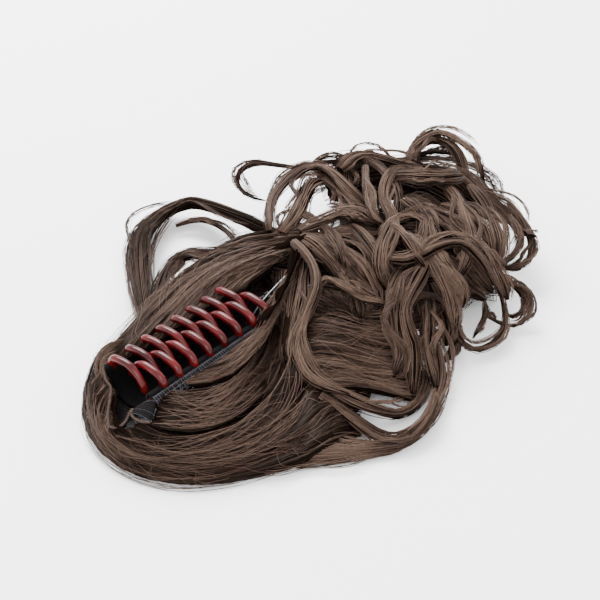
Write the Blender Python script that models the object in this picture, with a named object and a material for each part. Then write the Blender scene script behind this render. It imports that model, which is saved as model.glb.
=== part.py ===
"""A claw-clip ponytail hairpiece lying with its claw teeth up and its curls spread out.

The origin is on the surface it lies on, below the middle of the claw. +X runs along the claw
towards the ends of the hair, +Y to the claw's left side and +Z up. All sizes are in metres.
"""
import math

import bmesh
import bpy
from mathutils import Matrix, Vector

# Claw
TEETH = 8
TOOTH_PITCH = 0.0105
TOOTH_DIAMETER = 0.0029
TIP_DIAMETER = 0.0019
TOOTH_SIDES = 6
JAW_RADIUS = 0.0159
JAW_WALL = 0.002
JAW_END = 0.0042
SHOULDER_HEIGHT = 0.028
TOOTH_RISE = 0.0056
TIP_DEPTH = 0.0068
JAW_STEPS = 7

# Hinge wire
WIRE_DIAMETER = 0.0014
WIRE_TAIL = 0.040
WIRE_TAIL_RISE = 0.0158
WIRE_SIDES = 6

# Net base
CLEARANCE = 0.0003
NET_WALL = 0.0012
NET_RIM = 0.0004
NET_SHELF = 0.0045
NET_SHELF_DROP = 0.0037
NET_TURN = 0.94
POCKET_TURN = 0.91
BOW_LENGTH = 0.020
BOW_SKEW = 0.009
BOW_BLUNT = 0.15
BOW_RIM_DROP = 0.0095
BOW_KEEL_RISE = 0.0025
STERN_LENGTH = 0.011
STERN_NARROWING = 0.45
NET_STEPS = 10
HEM_WIDTH = 0.0019
HEM_HEIGHT = 0.0014
HEM_RUN = 0.004
HEM_SIDES = 6

# Hair
TAIL_LENGTH = 0.190
LIP_LENGTH = 0.025
SPREAD_WIDTH = 0.090
SPREAD_HEIGHT = 0.060
SPREAD_START = 0.020
LOCK_WIDTH = 0.015
LOCK_THICKNESS = 0.008
LOCK_SIDES = 8
LOCK_STEPS = 4
LOCK_END_SIZE = 0.45
LOCK_END_GROWTH = 5.5
HEM_END_SIZE = 0.5
HEM_END_GROWTH = 4
BACKING_WIDTH = 0.062
BACKING_DEPTH = 0.042
BACKING_CENTRE = 0.003
FUSE_VOXEL = 0.0022
HAIR_FACES_KEPT = 0.075
WEDGE_LENGTH = 0.046
WEDGE_SHIFT = 0.005
WEDGE_WIDTH_SHARE = 0.8
POCKET_TOP = 0.080
FLOOR_CUTTER = 0.8

CLAW_HALF = (TEETH - 0.5) * TOOTH_PITCH / 2 + JAW_END
SHELF_RUN_OUT = 1.3 * TOOTH_PITCH
SHELF_LEFT = 0.02
HINGE_HEIGHT = SHOULDER_HEIGHT - JAW_RADIUS + WIRE_DIAMETER / 2 + CLEARANCE
NET_HALF = JAW_RADIUS + CLEARANCE + NET_WALL
RIM_HEIGHT = SHOULDER_HEIGHT + NET_RIM

# Columns: name, colour, roughness, metallic.
MATERIALS = (
    ("claw_plastic", (0.36, 0.06, 0.05), 0.2, 0.0),
    ("wire_steel", (0.45, 0.46, 0.47), 0.3, 1.0),
    ("net_black", (0.012, 0.013, 0.016), 0.8, 0.0),
    ("hem_brown", (0.30, 0.22, 0.17), 0.8, 0.0),
    ("hair_brown", (0.085, 0.055, 0.042), 0.5, 0.0),
)

# The tooth's centre line, from its root in its own jaw, over the top, to its tip in the grip.
# Columns: across, a share of the jaw radius; rise, a share of TOOTH_RISE over the shoulder if
# positive, of TIP_DEPTH under it if negative.
TOOTH_LINE = (
    (0.86, -0.60),
    (0.88, 0.10),
    (0.82, 0.68),
    (0.58, 0.95),
    (0.16, 1.00),
    (-0.16, 0.54),
    (-0.39, -0.22),
    (-0.53, -1.00),
)

# The wire from its bend to its free end. Columns: along, a share of WIRE_TAIL; up, of WIRE_TAIL_RISE.
WIRE_ROUTE = (
    (-0.12, 0.0),
    (0.10, 0.20),
    (0.34, 0.58),
    (0.80, 0.96),
    (1.00, 1.00),
)

# The gap over the wire, seen from above. Columns: along, a share of WEDGE_LENGTH; across, of its
# half width at the claw; moved, how much of WEDGE_SHIFT is added.
WEDGE_PLAN = (
    (0.0, -1.0, 0),
    (0.35, -0.45, 0),
    (1.0, -0.1, 1),
    (1.0, 0.2, 1),
    (0.35, 0.6, 1),
    (0.0, 1.0, 0),
)

# How wide and deep the backing is along the claw, near end first, as shares of its full size.
BACKING_SHARES = (0.42, 0.70, 1.0, 1.0, 0.95, 0.7)

# The hair's routes are points (along, across, up). along: -1 and 1 are the claw's ends, below -1
# counts LIP_LENGTH and above 1 counts TAIL_LENGTH; across: -1 and 1 are SPREAD_START from the
# middle, and beyond that it counts SPREAD_WIDTH; up: a share of SPREAD_HEIGHT.
# Columns: name; width, a share of LOCK_WIDTH; depth, a share of LOCK_THICKNESS; lean, how far the
# flat of the lock is turned about its run, in degrees; route.
BACKING = (
    ("mass_root", 2.9, 3.6, 0, ((1.15, 0.75, 0.30), (1.26, 0.55, 0.30), (1.34, -0.15, 0.31),
     (1.41, -0.85, 0.32))),
    ("mass_mid", 3.7, 4.2, 0, ((1.40, 0.45, 0.30), (1.49, -0.55, 0.32), (1.58, -1.10, 0.32),
     (1.66, -1.28, 0.27))),
    ("mass_back", 2.4, 3.5, 0, ((1.50, 1.10, 0.25), (1.71, 1.12, 0.29), (1.80, 0.70, 0.30),
     (1.86, -0.45, 0.26), (1.84, -1.15, 0.22))),
    ("mass_right", 2.7, 3.0, 0, ((1.43, -1.25, 0.27), (1.52, -1.38, 0.25), (1.62, -1.43, 0.22))),
    ("mass_front", 3.0, 3.0, 0, ((1.13, -0.50, 0.28), (1.14, -1.15, 0.26), (1.17, -1.38, 0.22),
     (1.25, -1.50, 0.17))),
    ("mass_low", 2.1, 1.7, 0, ((-0.40, -1.40, 0.13), (0.20, -1.46, 0.15), (0.76, -1.48, 0.17),
     (0.99, -1.62, 0.13))),
)
LOCKS = (
    ("left_loop", 1.13, 1.0, 10, ((-0.11, 1.00, 0.33), (0.27, 1.33, 0.28), (0.85, 1.67, 0.17),
     (1.09, 1.93, 0.12), (1.21, 2.02, 0.13), (1.29, 1.95, 0.20), (1.30, 1.74, 0.28), (1.28, 1.46, 0.38),
     (1.25, 1.19, 0.47), (1.23, 0.94, 0.53))),
    ("left_loop_inner", 0.27, 0.5, 0, ((1.21, 1.95, 0.12), (1.25, 1.82, 0.13), (1.27, 1.72, 0.18),
     (1.24, 1.51, 0.28), (1.16, 1.22, 0.45))),
    ("left_hump", 0.87, 1.0, 10, ((0.21, 1.10, 0.37), (0.80, 1.41, 0.27), (1.05, 1.55, 0.23),
     (1.10, 1.49, 0.30), (1.10, 1.28, 0.43), (1.14, 1.10, 0.53))),
    ("sheet_a", 1.0, 0.75, -35, ((-0.80, 1.10, 0.36), (-0.30, 1.13, 0.42), (0.32, 1.19, 0.46),
     (0.99, 1.23, 0.50), (1.12, 1.14, 0.55), (1.22, 0.90, 0.58))),
    ("sheet_b", 1.0, 0.75, -25, ((-0.52, 1.06, 0.42), (0.02, 1.08, 0.48), (0.62, 1.11, 0.52),
     (1.03, 1.11, 0.55), (1.14, 1.03, 0.58), (1.23, 0.65, 0.60))),
    ("sheet_c", 1.0, 0.75, -15, ((-0.13, 1.02, 0.47), (0.42, 1.04, 0.52), (0.95, 1.05, 0.55),
     (1.09, 1.01, 0.58), (1.18, 0.75, 0.60), (1.25, 0.37, 0.62))),
    ("sheet_d", 0.93, 0.75, -10, ((0.39, 1.02, 0.47), (0.91, 1.00, 0.52), (1.07, 0.85, 0.55),
     (1.15, 0.55, 0.57), (1.22, 0.22, 0.60))),
    ("skirt_a", 1.07, 1.0, 60, ((-0.79, 1.13, 0.37), (-1.15, 1.05, 0.22), (-1.66, 0.40, 0.12),
     (-1.93, -0.66, 0.08), (-1.88, -1.16, 0.08), (-1.51, -1.35, 0.08), (-0.97, -1.49, 0.08),
     (-0.64, -1.60, 0.10), (-0.25, -1.70, 0.13), (0.13, -1.74, 0.17))),
    ("skirt_b", 1.07, 1.1, 50, ((-0.96, 0.86, 0.36), (-1.38, 0.51, 0.25), (-1.69, -0.16, 0.18),
     (-1.69, -1.01, 0.15), (-1.49, -1.23, 0.15), (-1.05, -1.40, 0.15), (-0.69, -1.51, 0.15),
     (-0.32, -1.58, 0.17), (0.06, -1.61, 0.22), (0.39, -1.60, 0.27))),
    ("skirt_c", 1.0, 1.1, 40, ((-1.55, -0.30, 0.26), (-1.62, -0.80, 0.26), (-1.50, -1.08, 0.26),
     (-1.26, -1.24, 0.23), (-0.87, -1.37, 0.22), (-0.51, -1.46, 0.22), (-0.14, -1.49, 0.25),
     (0.24, -1.46, 0.30), (0.58, -1.38, 0.37))),
    ("skirt_d", 0.93, 1.0, 35, ((-1.40, -1.02, 0.34), (-1.25, -1.15, 0.34), (-0.98, -1.26, 0.32),
     (-0.65, -1.35, 0.30), (-0.27, -1.38, 0.30), (0.08, -1.36, 0.35), (0.45, -1.29, 0.42),
     (0.81, -1.18, 0.47))),
    ("skirt_f", 0.93, 0.9, 25, ((-0.95, -1.03, 0.38), (-0.76, -1.12, 0.38), (-0.52, -1.20, 0.38),
     (-0.16, -1.22, 0.36))),
    ("skirt_g", 0.93, 0.9, 20, ((-0.62, -1.06, 0.39), (-0.44, -1.12, 0.40), (-0.17, -1.15, 0.40),
     (0.23, -1.13, 0.40), (0.63, -1.08, 0.42), (0.99, -1.01, 0.47))),
    ("skirt_i", 0.87, 0.9, 10, ((0.10, -1.08, 0.38), (0.46, -1.04, 0.43), (0.82, -0.98, 0.49),
     (1.05, -0.65, 0.57), (1.15, -0.29, 0.60), (1.22, 0.08, 0.63))),
    ("s_lock", 0.53, 0.75, 0, ((1.20, 0.26, 0.66), (1.18, -0.23, 0.66), (1.15, -0.77, 0.65),
     (1.11, -1.06, 0.61), (1.06, -1.11, 0.55), (1.01, -1.15, 0.48), (0.79, -1.21, 0.43),
     (0.60, -1.31, 0.38), (0.50, -1.42, 0.33), (0.53, -1.54, 0.30), (0.68, -1.64, 0.26))),
    ("inner_tail", 0.8, 0.9, 0, ((1.24, 0.45, 0.60), (1.25, -0.04, 0.58), (1.24, -0.64, 0.56),
     (1.22, -1.05, 0.51), (1.21, -1.17, 0.45), (1.23, -1.26, 0.40), (1.27, -1.35, 0.33))),
    ("fan_a", 1.07, 0.75, 0, ((1.03, -1.12, 0.43), (1.07, -1.20, 0.43), (1.10, -1.32, 0.41),
     (1.14, -1.42, 0.38), (1.19, -1.51, 0.32), (1.25, -1.58, 0.23))),
    ("fan_b", 1.07, 0.75, 0, ((0.80, -1.22, 0.40), (0.98, -1.31, 0.41), (1.03, -1.43, 0.38),
     (1.08, -1.54, 0.33), (1.13, -1.62, 0.26), (1.21, -1.64, 0.17))),
    ("fan_c", 1.0, 0.75, 0, ((0.60, -1.35, 0.35), (0.78, -1.43, 0.34), (0.96, -1.54, 0.30),
     (1.04, -1.64, 0.24), (1.09, -1.73, 0.18), (1.14, -1.79, 0.13))),
    ("fan_d", 0.93, 0.75, 0, ((0.53, -1.51, 0.29), (0.75, -1.58, 0.27), (0.96, -1.67, 0.22),
     (1.03, -1.76, 0.17), (1.06, -1.85, 0.12))),
    ("big_loop", 0.73, 1.0, 0, ((0.48, -1.50, 0.27), (0.54, -1.67, 0.18), (0.57, -1.81, 0.12),
     (0.60, -1.93, 0.08), (0.69, -2.02, 0.08), (0.97, -2.04, 0.08), (1.08, -2.00, 0.08),
     (1.18, -1.90, 0.10), (1.24, -1.76, 0.17), (1.27, -1.64, 0.25), (1.28, -1.50, 0.30))),
    ("big_loop_in", 0.53, 0.75, 0, ((0.60, -1.58, 0.27), (0.74, -1.69, 0.18), (0.87, -1.81, 0.12),
     (1.00, -1.87, 0.08), (1.06, -1.89, 0.08), (1.13, -1.84, 0.10), (1.20, -1.72, 0.13))),
    ("down_lock", 0.73, 0.9, 0, ((1.38, -1.40, 0.66), (1.32, -1.45, 0.63), (1.25, -1.50, 0.58),
     (1.20, -1.54, 0.52), (1.16, -1.62, 0.44), (1.14, -1.70, 0.34), (1.11, -1.77, 0.23),
     (1.07, -1.84, 0.13))),
    ("top_left_loop", 0.53, 0.75, 0, ((1.23, 1.08, 0.53), (1.28, 1.22, 0.60), (1.34, 1.29, 0.63),
     (1.41, 1.35, 0.65), (1.48, 1.35, 0.67), (1.53, 1.29, 0.67), (1.54, 1.17, 0.65), (1.52, 1.04, 0.62),
     (1.51, 0.59, 0.58), (1.52, 0.06, 0.50))),
    ("top_left_band", 0.87, 0.75, 0, ((1.24, 1.00, 0.55), (1.31, 1.05, 0.58), (1.39, 1.13, 0.60),
     (1.46, 1.20, 0.62), (1.53, 1.23, 0.62), (1.54, 1.12, 0.60))),
    ("top_wisp", 0.27, 0.5, 0, ((1.57, 1.28, 0.60), (1.53, 1.43, 0.57), (1.52, 1.58, 0.53),
     (1.50, 1.71, 0.50), (1.46, 1.78, 0.45), (1.43, 1.77, 0.40), (1.41, 1.70, 0.33), (1.42, 1.63, 0.27))),
    ("outline_back", 0.8, 1.0, 0, ((1.52, 1.28, 0.60), (1.61, 1.27, 0.56), (1.68, 1.26, 0.55),
     (1.73, 1.20, 0.52), (1.76, 0.92, 0.50), (1.79, 0.39, 0.47))),
    ("mid_band", 0.8, 0.9, 0, ((1.24, 0.24, 0.56), (1.32, -0.01, 0.55), (1.38, -0.42, 0.53),
     (1.43, -0.85, 0.52), (1.46, -1.08, 0.50))),
    ("mid_band_left", 0.67, 0.75, 0, ((1.25, 0.68, 0.57), (1.33, 0.48, 0.60), (1.41, 0.35, 0.60),
     (1.44, -0.03, 0.58), (1.44, -0.62, 0.56))),
    ("oval_left", 0.5, 0.75, 0, ((1.72, 0.53, 0.55), (1.63, 0.42, 0.62), (1.56, 0.06, 0.64),
     (1.50, -0.45, 0.64), (1.46, -0.97, 0.64), (1.40, -1.08, 0.65), (1.33, -1.15, 0.66),
     (1.27, -1.22, 0.64), (1.25, -1.27, 0.57), (1.24, -1.33, 0.47))),
    ("oval_top", 0.87, 1.0, 0, ((1.61, 0.50, 0.58), (1.67, 0.18, 0.60), (1.69, -0.34, 0.60),
     (1.74, -0.71, 0.57), (1.80, -0.88, 0.52))),
    ("top_loop", 0.6, 0.75, 0, ((1.78, 0.70, 0.46), (1.84, 1.03, 0.54), (1.89, 1.05, 0.58),
     (1.94, 0.99, 0.60), (1.95, 0.51, 0.60), (1.94, -0.10, 0.57), (1.91, -0.52, 0.50),
     (1.87, -0.85, 0.42), (1.84, -1.00, 0.36))),
    ("right_outline", 0.8, 1.0, 0, ((1.86, -0.48, 0.46), (1.85, -1.01, 0.44), (1.83, -1.15, 0.42),
     (1.82, -1.27, 0.40), (1.81, -1.39, 0.37), (1.77, -1.47, 0.33), (1.70, -1.44, 0.28))),
    ("right_curl", 0.4, 0.7, 0, ((1.82, -1.27, 0.42), (1.81, -1.42, 0.41), (1.78, -1.54, 0.38),
     (1.74, -1.62, 0.33), (1.71, -1.65, 0.27), (1.69, -1.61, 0.20), (1.66, -1.53, 0.18),
     (1.62, -1.42, 0.20))),
    ("arc_lock", 0.5, 0.75, 0, ((1.28, -1.18, 0.62), (1.31, -1.32, 0.68), (1.35, -1.38, 0.71),
     (1.40, -1.41, 0.73), (1.45, -1.46, 0.73), (1.48, -1.52, 0.71), (1.48, -1.59, 0.66),
     (1.48, -1.66, 0.58), (1.48, -1.73, 0.48), (1.47, -1.81, 0.36))),
    ("ring", 0.4, 0.65, 0, ((1.38, -1.04, 0.62), (1.42, -1.03, 0.66), (1.46, -1.04, 0.68),
     (1.50, -1.09, 0.68), (1.51, -1.18, 0.67), (1.49, -1.29, 0.66), (1.44, -1.38, 0.66))),
    ("fan_tail", 0.73, 0.85, 0, ((1.40, -1.38, 0.66), (1.37, -1.53, 0.64), (1.35, -1.62, 0.58),
     (1.34, -1.68, 0.50), (1.33, -1.73, 0.42), (1.32, -1.72, 0.34))),
    ("small_loop", 0.3, 0.55, 0, ((1.36, -1.62, 0.45), (1.35, -1.69, 0.33), (1.33, -1.72, 0.22),
     (1.33, -1.78, 0.13), (1.35, -1.85, 0.08), (1.39, -1.88, 0.08), (1.44, -1.87, 0.10),
     (1.49, -1.82, 0.15), (1.52, -1.77, 0.23), (1.53, -1.70, 0.33), (1.53, -1.60, 0.40))),
    ("tuft_curl", 0.33, 0.5, 0, ((1.54, -1.66, 0.38), (1.55, -1.76, 0.36), (1.57, -1.83, 0.30),
     (1.57, -1.87, 0.20), (1.55, -1.88, 0.11), (1.52, -1.86, 0.09), (1.49, -1.81, 0.13))),
    ("right_band_a", 0.67, 0.75, 0, ((1.56, -1.43, 0.56), (1.54, -1.55, 0.53), (1.53, -1.65, 0.47),
     (1.52, -1.74, 0.38), (1.51, -1.79, 0.28))),
    ("right_band_b", 0.67, 0.85, 0, ((1.63, -1.08, 0.54), (1.65, -1.22, 0.52), (1.65, -1.36, 0.49),
     (1.62, -1.48, 0.44), (1.58, -1.57, 0.38))),
    ("fill_right", 0.6, 0.85, 0, ((1.64, -0.58, 0.50), (1.60, -1.06, 0.52), (1.58, -1.22, 0.53),
     (1.56, -1.36, 0.53), (1.54, -1.49, 0.50))),
    ("low_tuft", 0.53, 0.65, 0, ((1.24, -1.58, 0.20), (1.30, -1.64, 0.16), (1.33, -1.69, 0.11),
     (1.30, -1.74, 0.08), (1.25, -1.76, 0.08))),
)


def clear_scene():
    for item in list(bpy.data.objects):
        bpy.data.objects.remove(item, do_unlink=True)


def make_material(name, colour, roughness, metallic):
    material = bpy.data.materials.new(name)
    material.use_nodes = True
    shader = material.node_tree.nodes["Principled BSDF"]
    shader.inputs["Base Color"].default_value = (*colour, 1.0)
    shader.inputs["Roughness"].default_value = roughness
    shader.inputs["Metallic"].default_value = metallic
    return material


def make_object(name, shape, material=None):
    mesh = bpy.data.meshes.new(name)
    bmesh.ops.recalc_face_normals(shape, faces=shape.faces)
    shape.to_mesh(mesh)
    shape.free()
    made = bpy.data.objects.new(name, mesh)
    bpy.context.scene.collection.objects.link(made)
    if material:
        mesh.materials.append(material)
        mesh.shade_smooth()
        mesh.set_sharp_from_angle(angle=math.radians(35))
    return made


def make_cutter(name, shape):
    cutter = make_object(name, shape)
    cutter.hide_render = True
    cutter.display_type = "WIRE"
    return cutter


def boolean(target, tool, operation, solver="EXACT"):
    modifier = target.modifiers.new(tool.name, "BOOLEAN")
    modifier.object = tool
    modifier.operation = operation
    modifier.solver = solver


def add_loft(shape, rings):
    """Join rings of as many points each into one closed skin with capped ends."""
    rows = [[shape.verts.new(point) for point in ring] for ring in rings]
    count = len(rows[0])
    for row, following in zip(rows, rows[1:]):
        for i in range(count):
            j = (i + 1) % count
            shape.faces.new((row[i], row[j], following[j], following[i]))
    shape.faces.new(list(reversed(rows[0])))
    shape.faces.new(rows[-1])


def curve_through(points, steps):
    """A smooth line through the points, steps to each span, by the Catmull-Rom rule."""
    knots = [2 * points[0] - points[1], *points, 2 * points[-1] - points[-2]]
    line = []
    for a, b, c, d in zip(knots, knots[1:], knots[2:], knots[3:]):
        for step in range(steps):
            t = step / steps
            line.append(0.5 * (2 * b + (c - a) * t + (2 * a - 5 * b + 4 * c - d) * t * t
                               + (3 * b - a - 3 * c + d) * t * t * t))
    line.append(points[-1])
    return line


def sweep(shape, line, half_widths, half_depths, sides, lean=0.0, across=None):
    """Run an ellipse along the line, its width level unless lean turns it about the line.

    across is the direction of the width, for a line that bends in the one plane square to it.
    """
    rings = []
    for i, point in enumerate(line):
        run = (line[min(i + 1, len(line) - 1)] - line[max(i - 1, 0)]).normalized()
        side = (across or Vector((0, 0, 1)).cross(run)).normalized()
        side = Matrix.Rotation(lean, 3, run) @ side
        top = run.cross(side)
        rings.append([point + side * half_widths[i] * math.cos(a) + top * half_depths[i] * math.sin(a)
                      for a in (2 * math.pi * k / sides for k in range(sides))])
    add_loft(shape, rings)


def tooth_x(index, side):
    """Place of a tooth along the claw: the right jaw's teeth stand half a pitch on."""
    first = -(TEETH - 0.5) * TOOTH_PITCH / 2
    return first + TOOTH_PITCH * (index + (0.0 if side > 0 else 0.5))


def tooth_centre_line(x, side):
    points = []
    for across, rise in TOOTH_LINE:
        height = TOOTH_RISE if rise > 0 else TIP_DEPTH
        points.append(Vector((x, side * across * JAW_RADIUS, SHOULDER_HEIGHT + rise * height)))
    return curve_through(points, 2)


def jaw_section(x, side):
    """A quarter round shell from the hinge line up to the shoulder."""
    hinge_gap = WIRE_DIAMETER / 2 + CLEARANCE
    lowest = math.asin(hinge_gap / (JAW_RADIUS - JAW_WALL))
    angles = [lowest + (math.pi / 2 - lowest) * k / JAW_STEPS for k in range(JAW_STEPS + 1)]
    ring = []
    for radius, turn in ((JAW_RADIUS, angles), (JAW_RADIUS - JAW_WALL, reversed(angles))):
        for angle in turn:
            ring.append(Vector((x, side * radius * math.sin(angle),
                                SHOULDER_HEIGHT - radius * math.cos(angle))))
    return ring


def make_jaw(name, side, material):
    plate = bmesh.new()
    between = [tooth_x(index, side) + TOOTH_PITCH / 2 for index in range(TEETH - 1)]
    add_loft(plate, [jaw_section(x, side) for x in (-CLAW_HALF, *between, CLAW_HALF)])
    jaw = make_object(name, plate, material)
    teeth = bmesh.new()
    for index in range(TEETH):
        line = tooth_centre_line(tooth_x(index, side), side)
        last = len(line) - 1
        radii = [(TOOTH_DIAMETER + (TIP_DIAMETER - TOOTH_DIAMETER) * (i / last) ** 3) / 2
                 for i in range(last + 1)]
        sweep(teeth, line, radii, radii, TOOTH_SIDES, across=Vector((1, 0, 0)))
    boolean(jaw, make_cutter(name + "_teeth", teeth), "UNION", "MANIFOLD")
    return jaw


def wire_points():
    """Along the hinge line, up past the last tooth, then on in line with the claw."""
    bend = CLAW_HALF - JAW_END
    points = [Vector((-CLAW_HALF, 0, HINGE_HEIGHT)), Vector((0, 0, HINGE_HEIGHT))]
    for along, up in WIRE_ROUTE:
        points.append(Vector((bend + along * WIRE_TAIL, 0, HINGE_HEIGHT + up * WIRE_TAIL_RISE)))
    return points


def add_wire(shape, radius):
    line = curve_through(wire_points(), 4)
    radii = [radius] * len(line)
    sweep(shape, line, radii, radii, WIRE_SIDES)


def net_station(x):
    """Half-width share, sideways shift, rim height and keel height of the net at x."""
    keel = SHOULDER_HEIGHT - JAW_RADIUS - CLEARANCE - NET_WALL
    if x < -CLAW_HALF:
        past = min((-CLAW_HALF - x) / BOW_LENGTH, 1.0)
        width = max(math.sqrt(1 - past ** 2), BOW_BLUNT)
        rim = RIM_HEIGHT - BOW_RIM_DROP * past ** 1.5
        return width, -BOW_SKEW * past, rim, keel + BOW_KEEL_RISE * past ** 2
    past = max(0.0, min((x - CLAW_HALF) / STERN_LENGTH, 1.0))
    return 1 - STERN_NARROWING * past ** 2, 0.0, RIM_HEIGHT, keel


def net_stations(bow_reach=BOW_LENGTH):
    bow = [-CLAW_HALF - bow_reach * math.sin(math.pi / 2 * (1 - k / NET_STEPS)) for k in range(NET_STEPS)]
    shelf_end = CLAW_HALF - JAW_END - TOOTH_PITCH
    stern = [shelf_end, shelf_end + TOOTH_PITCH] + [CLAW_HALF + STERN_LENGTH * k / 3 for k in range(4)]
    return bow + [-CLAW_HALF, 0.0] + stern


def shelf_share(x):
    """The mesh shelf runs out before the last tooth, where the hair closes over it."""
    start = CLAW_HALF - JAW_END - TOOTH_PITCH
    return max(SHELF_LEFT, 1 - max(0.0, x - start) / SHELF_RUN_OUT)


def net_section(x, grow, top=None):
    """The outside of the net with its shelf on the right, grown outwards, filled to the rim."""
    width, shift, rim, keel = net_station(x)
    half = NET_HALF * width + grow
    shelf = NET_SHELF * shelf_share(x) * width
    drop = NET_SHELF_DROP * shelf_share(x) * width
    depth = rim - NET_RIM - keel + grow
    ring = [Vector((x, shift + half, top or rim + grow))]
    for k in range(2 * JAW_STEPS + 1):
        angle = math.pi / 2 - math.pi * k / (2 * JAW_STEPS) * (NET_TURN if top is None else POCKET_TURN)
        ring.append(Vector((x, shift + half * math.sin(angle), rim - NET_RIM - depth * math.cos(angle))))
    edge = shift - half - shelf
    ring.append(Vector((x, edge, rim - drop - NET_WALL - 2 * grow)))
    ring.append(Vector((x, edge, top or rim - drop + grow)))
    ring.append(Vector((x, shift - half + grow, top or rim + grow)))
    return ring


def net_hollow_section(x, top):
    width, shift, rim, keel = net_station(x)
    half = NET_HALF * width - NET_WALL
    depth = rim - NET_RIM - keel - NET_WALL
    ring = [Vector((x, shift + half, top))]
    for k in range(2 * JAW_STEPS + 1):
        angle = math.pi / 2 - math.pi * k / (2 * JAW_STEPS)
        ring.append(Vector((x, shift + half * math.sin(angle), rim - NET_RIM - depth * math.cos(angle))))
    ring.append(Vector((x, shift - half, top)))
    return ring


def make_net(material):
    outside = bmesh.new()
    add_loft(outside, [net_section(x, 0.0) for x in net_stations()])
    net = make_object("net_base", outside, material)
    hollow = bmesh.new()
    inner = net_stations(BOW_LENGTH - NET_WALL)
    inner[-1] += NET_WALL
    add_loft(hollow, [net_hollow_section(x, POCKET_TOP) for x in inner])
    boolean(net, make_cutter("net_hollow", hollow), "DIFFERENCE", "MANIFOLD")
    return net


def make_hem(material):
    """The sewn edge that sits on the rim all round the bow."""
    seat = HEM_HEIGHT / 2 + CLEARANCE
    left, right = [], []
    for x in [s for s in net_stations() if s <= -CLAW_HALF] + [-CLAW_HALF + HEM_RUN]:
        width, shift, rim, _ = net_station(x)
        reach = NET_HALF * width - NET_WALL / 2
        left.append(Vector((x, shift + reach, rim + seat)))
        right.append(Vector((x, shift - reach, rim + seat)))
    line = curve_through(list(reversed(left)) + right, 2)
    last = len(line) - 1
    ends = [min(1.0, HEM_END_SIZE + HEM_END_GROWTH * min(i, last - i) / last) for i in range(last + 1)]
    shape = bmesh.new()
    sweep(shape, line, [HEM_WIDTH / 2 * e for e in ends], [HEM_HEIGHT / 2 * e for e in ends], HEM_SIDES)
    return make_object("lip_hem", shape, material)


def hair_point(along, across, up):
    x = (CLAW_HALF * max(-1.0, min(along, 1.0)) + TAIL_LENGTH * max(along - 1.0, 0.0)
         + LIP_LENGTH * min(along + 1.0, 0.0))
    inner = SPREAD_START * max(-1.0, min(across, 1.0))
    outer = SPREAD_WIDTH * max(abs(across) - 1.0, 0.0)
    return Vector((x, inner + math.copysign(outer, across), up * SPREAD_HEIGHT))


def add_lock(shape, width, depth, lean, route):
    """One lock, swept along its route with rounded ends."""
    line = curve_through([hair_point(*point) for point in route], LOCK_STEPS)
    last = len(line) - 1
    ends = [min(1.0, LOCK_END_SIZE + LOCK_END_GROWTH * min(i, last - i) / last) for i in range(last + 1)]
    half_widths = [0.5 * LOCK_WIDTH * width * e for e in ends]
    half_depths = [0.5 * LOCK_THICKNESS * depth * e for e in ends]
    sweep(shape, line, half_widths, half_depths, LOCK_SIDES, math.radians(lean))


def add_backing(shape):
    """The mound of hair that the net is sewn into."""
    near = -CLAW_HALF - BOW_LENGTH
    places = (near, near + 0.3 * BOW_LENGTH, -CLAW_HALF, 0.0, CLAW_HALF, CLAW_HALF + STERN_LENGTH)
    line = [Vector((x, -BOW_SKEW * 0.5 * (x < -CLAW_HALF), BACKING_CENTRE)) for x in places]
    half_widths = [BACKING_WIDTH / 2 * share for share in BACKING_SHARES]
    half_depths = [BACKING_DEPTH / 2 * share for share in BACKING_SHARES]
    sweep(shape, line, half_widths, half_depths, 2 * LOCK_SIDES)


def fuse_locks(shape):
    """Melt the crossing locks into one body, with fewer faces and without the crumbs between them."""
    loose = make_object("loose_locks", shape)
    fuse = loose.modifiers.new("fuse", "REMESH")
    fuse.mode = "VOXEL"
    fuse.voxel_size = FUSE_VOXEL
    thin = loose.modifiers.new("thin", "DECIMATE")
    thin.ratio = HAIR_FACES_KEPT
    fused = bmesh.new()
    fused.from_object(loose, bpy.context.evaluated_depsgraph_get())
    bpy.data.objects.remove(loose, do_unlink=True)
    bodies = []
    left = set(fused.verts)
    while left:
        body, edge = set(), {left.pop()}
        while edge:
            body |= edge
            edge = {link.other_vert(vert) for vert in edge for link in vert.link_edges} - body
        left -= body
        bodies.append(body)
    main_body = max(bodies, key=len)
    crumbs = [vert for vert in fused.verts if vert not in main_body]
    bmesh.ops.delete(fused, geom=crumbs, context="VERTS")
    return fused


def make_hair(material):
    shape = bmesh.new()
    add_backing(shape)
    for _, width, depth, lean, route in BACKING + LOCKS:
        add_lock(shape, width, depth, lean, route)
    hair = make_object("hair", fuse_locks(shape), material)
    boolean(hair, make_pocket_cutter(), "DIFFERENCE")
    boolean(hair, make_wedge_cutter(), "DIFFERENCE")
    boolean(hair, make_wire_cutter(), "DIFFERENCE")
    boolean(hair, make_floor_cutter(), "DIFFERENCE")
    return hair


def make_pocket_cutter():
    """The room for the net and its hem, open above."""
    shape = bmesh.new()
    hem = HEM_WIDTH / 2 - NET_WALL / 2
    bow_room = hem + 3 * CLEARANCE
    rings = [net_section(x, bow_room if x <= -CLAW_HALF else CLEARANCE, POCKET_TOP)
             for x in net_stations()]
    rings[0] = [point - Vector((bow_room, 0, 0)) for point in rings[0]]
    rings[-1] = [point + Vector((CLEARANCE, 0, 0)) for point in rings[-1]]
    add_loft(shape, rings)
    return make_cutter("pocket", shape)


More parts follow.
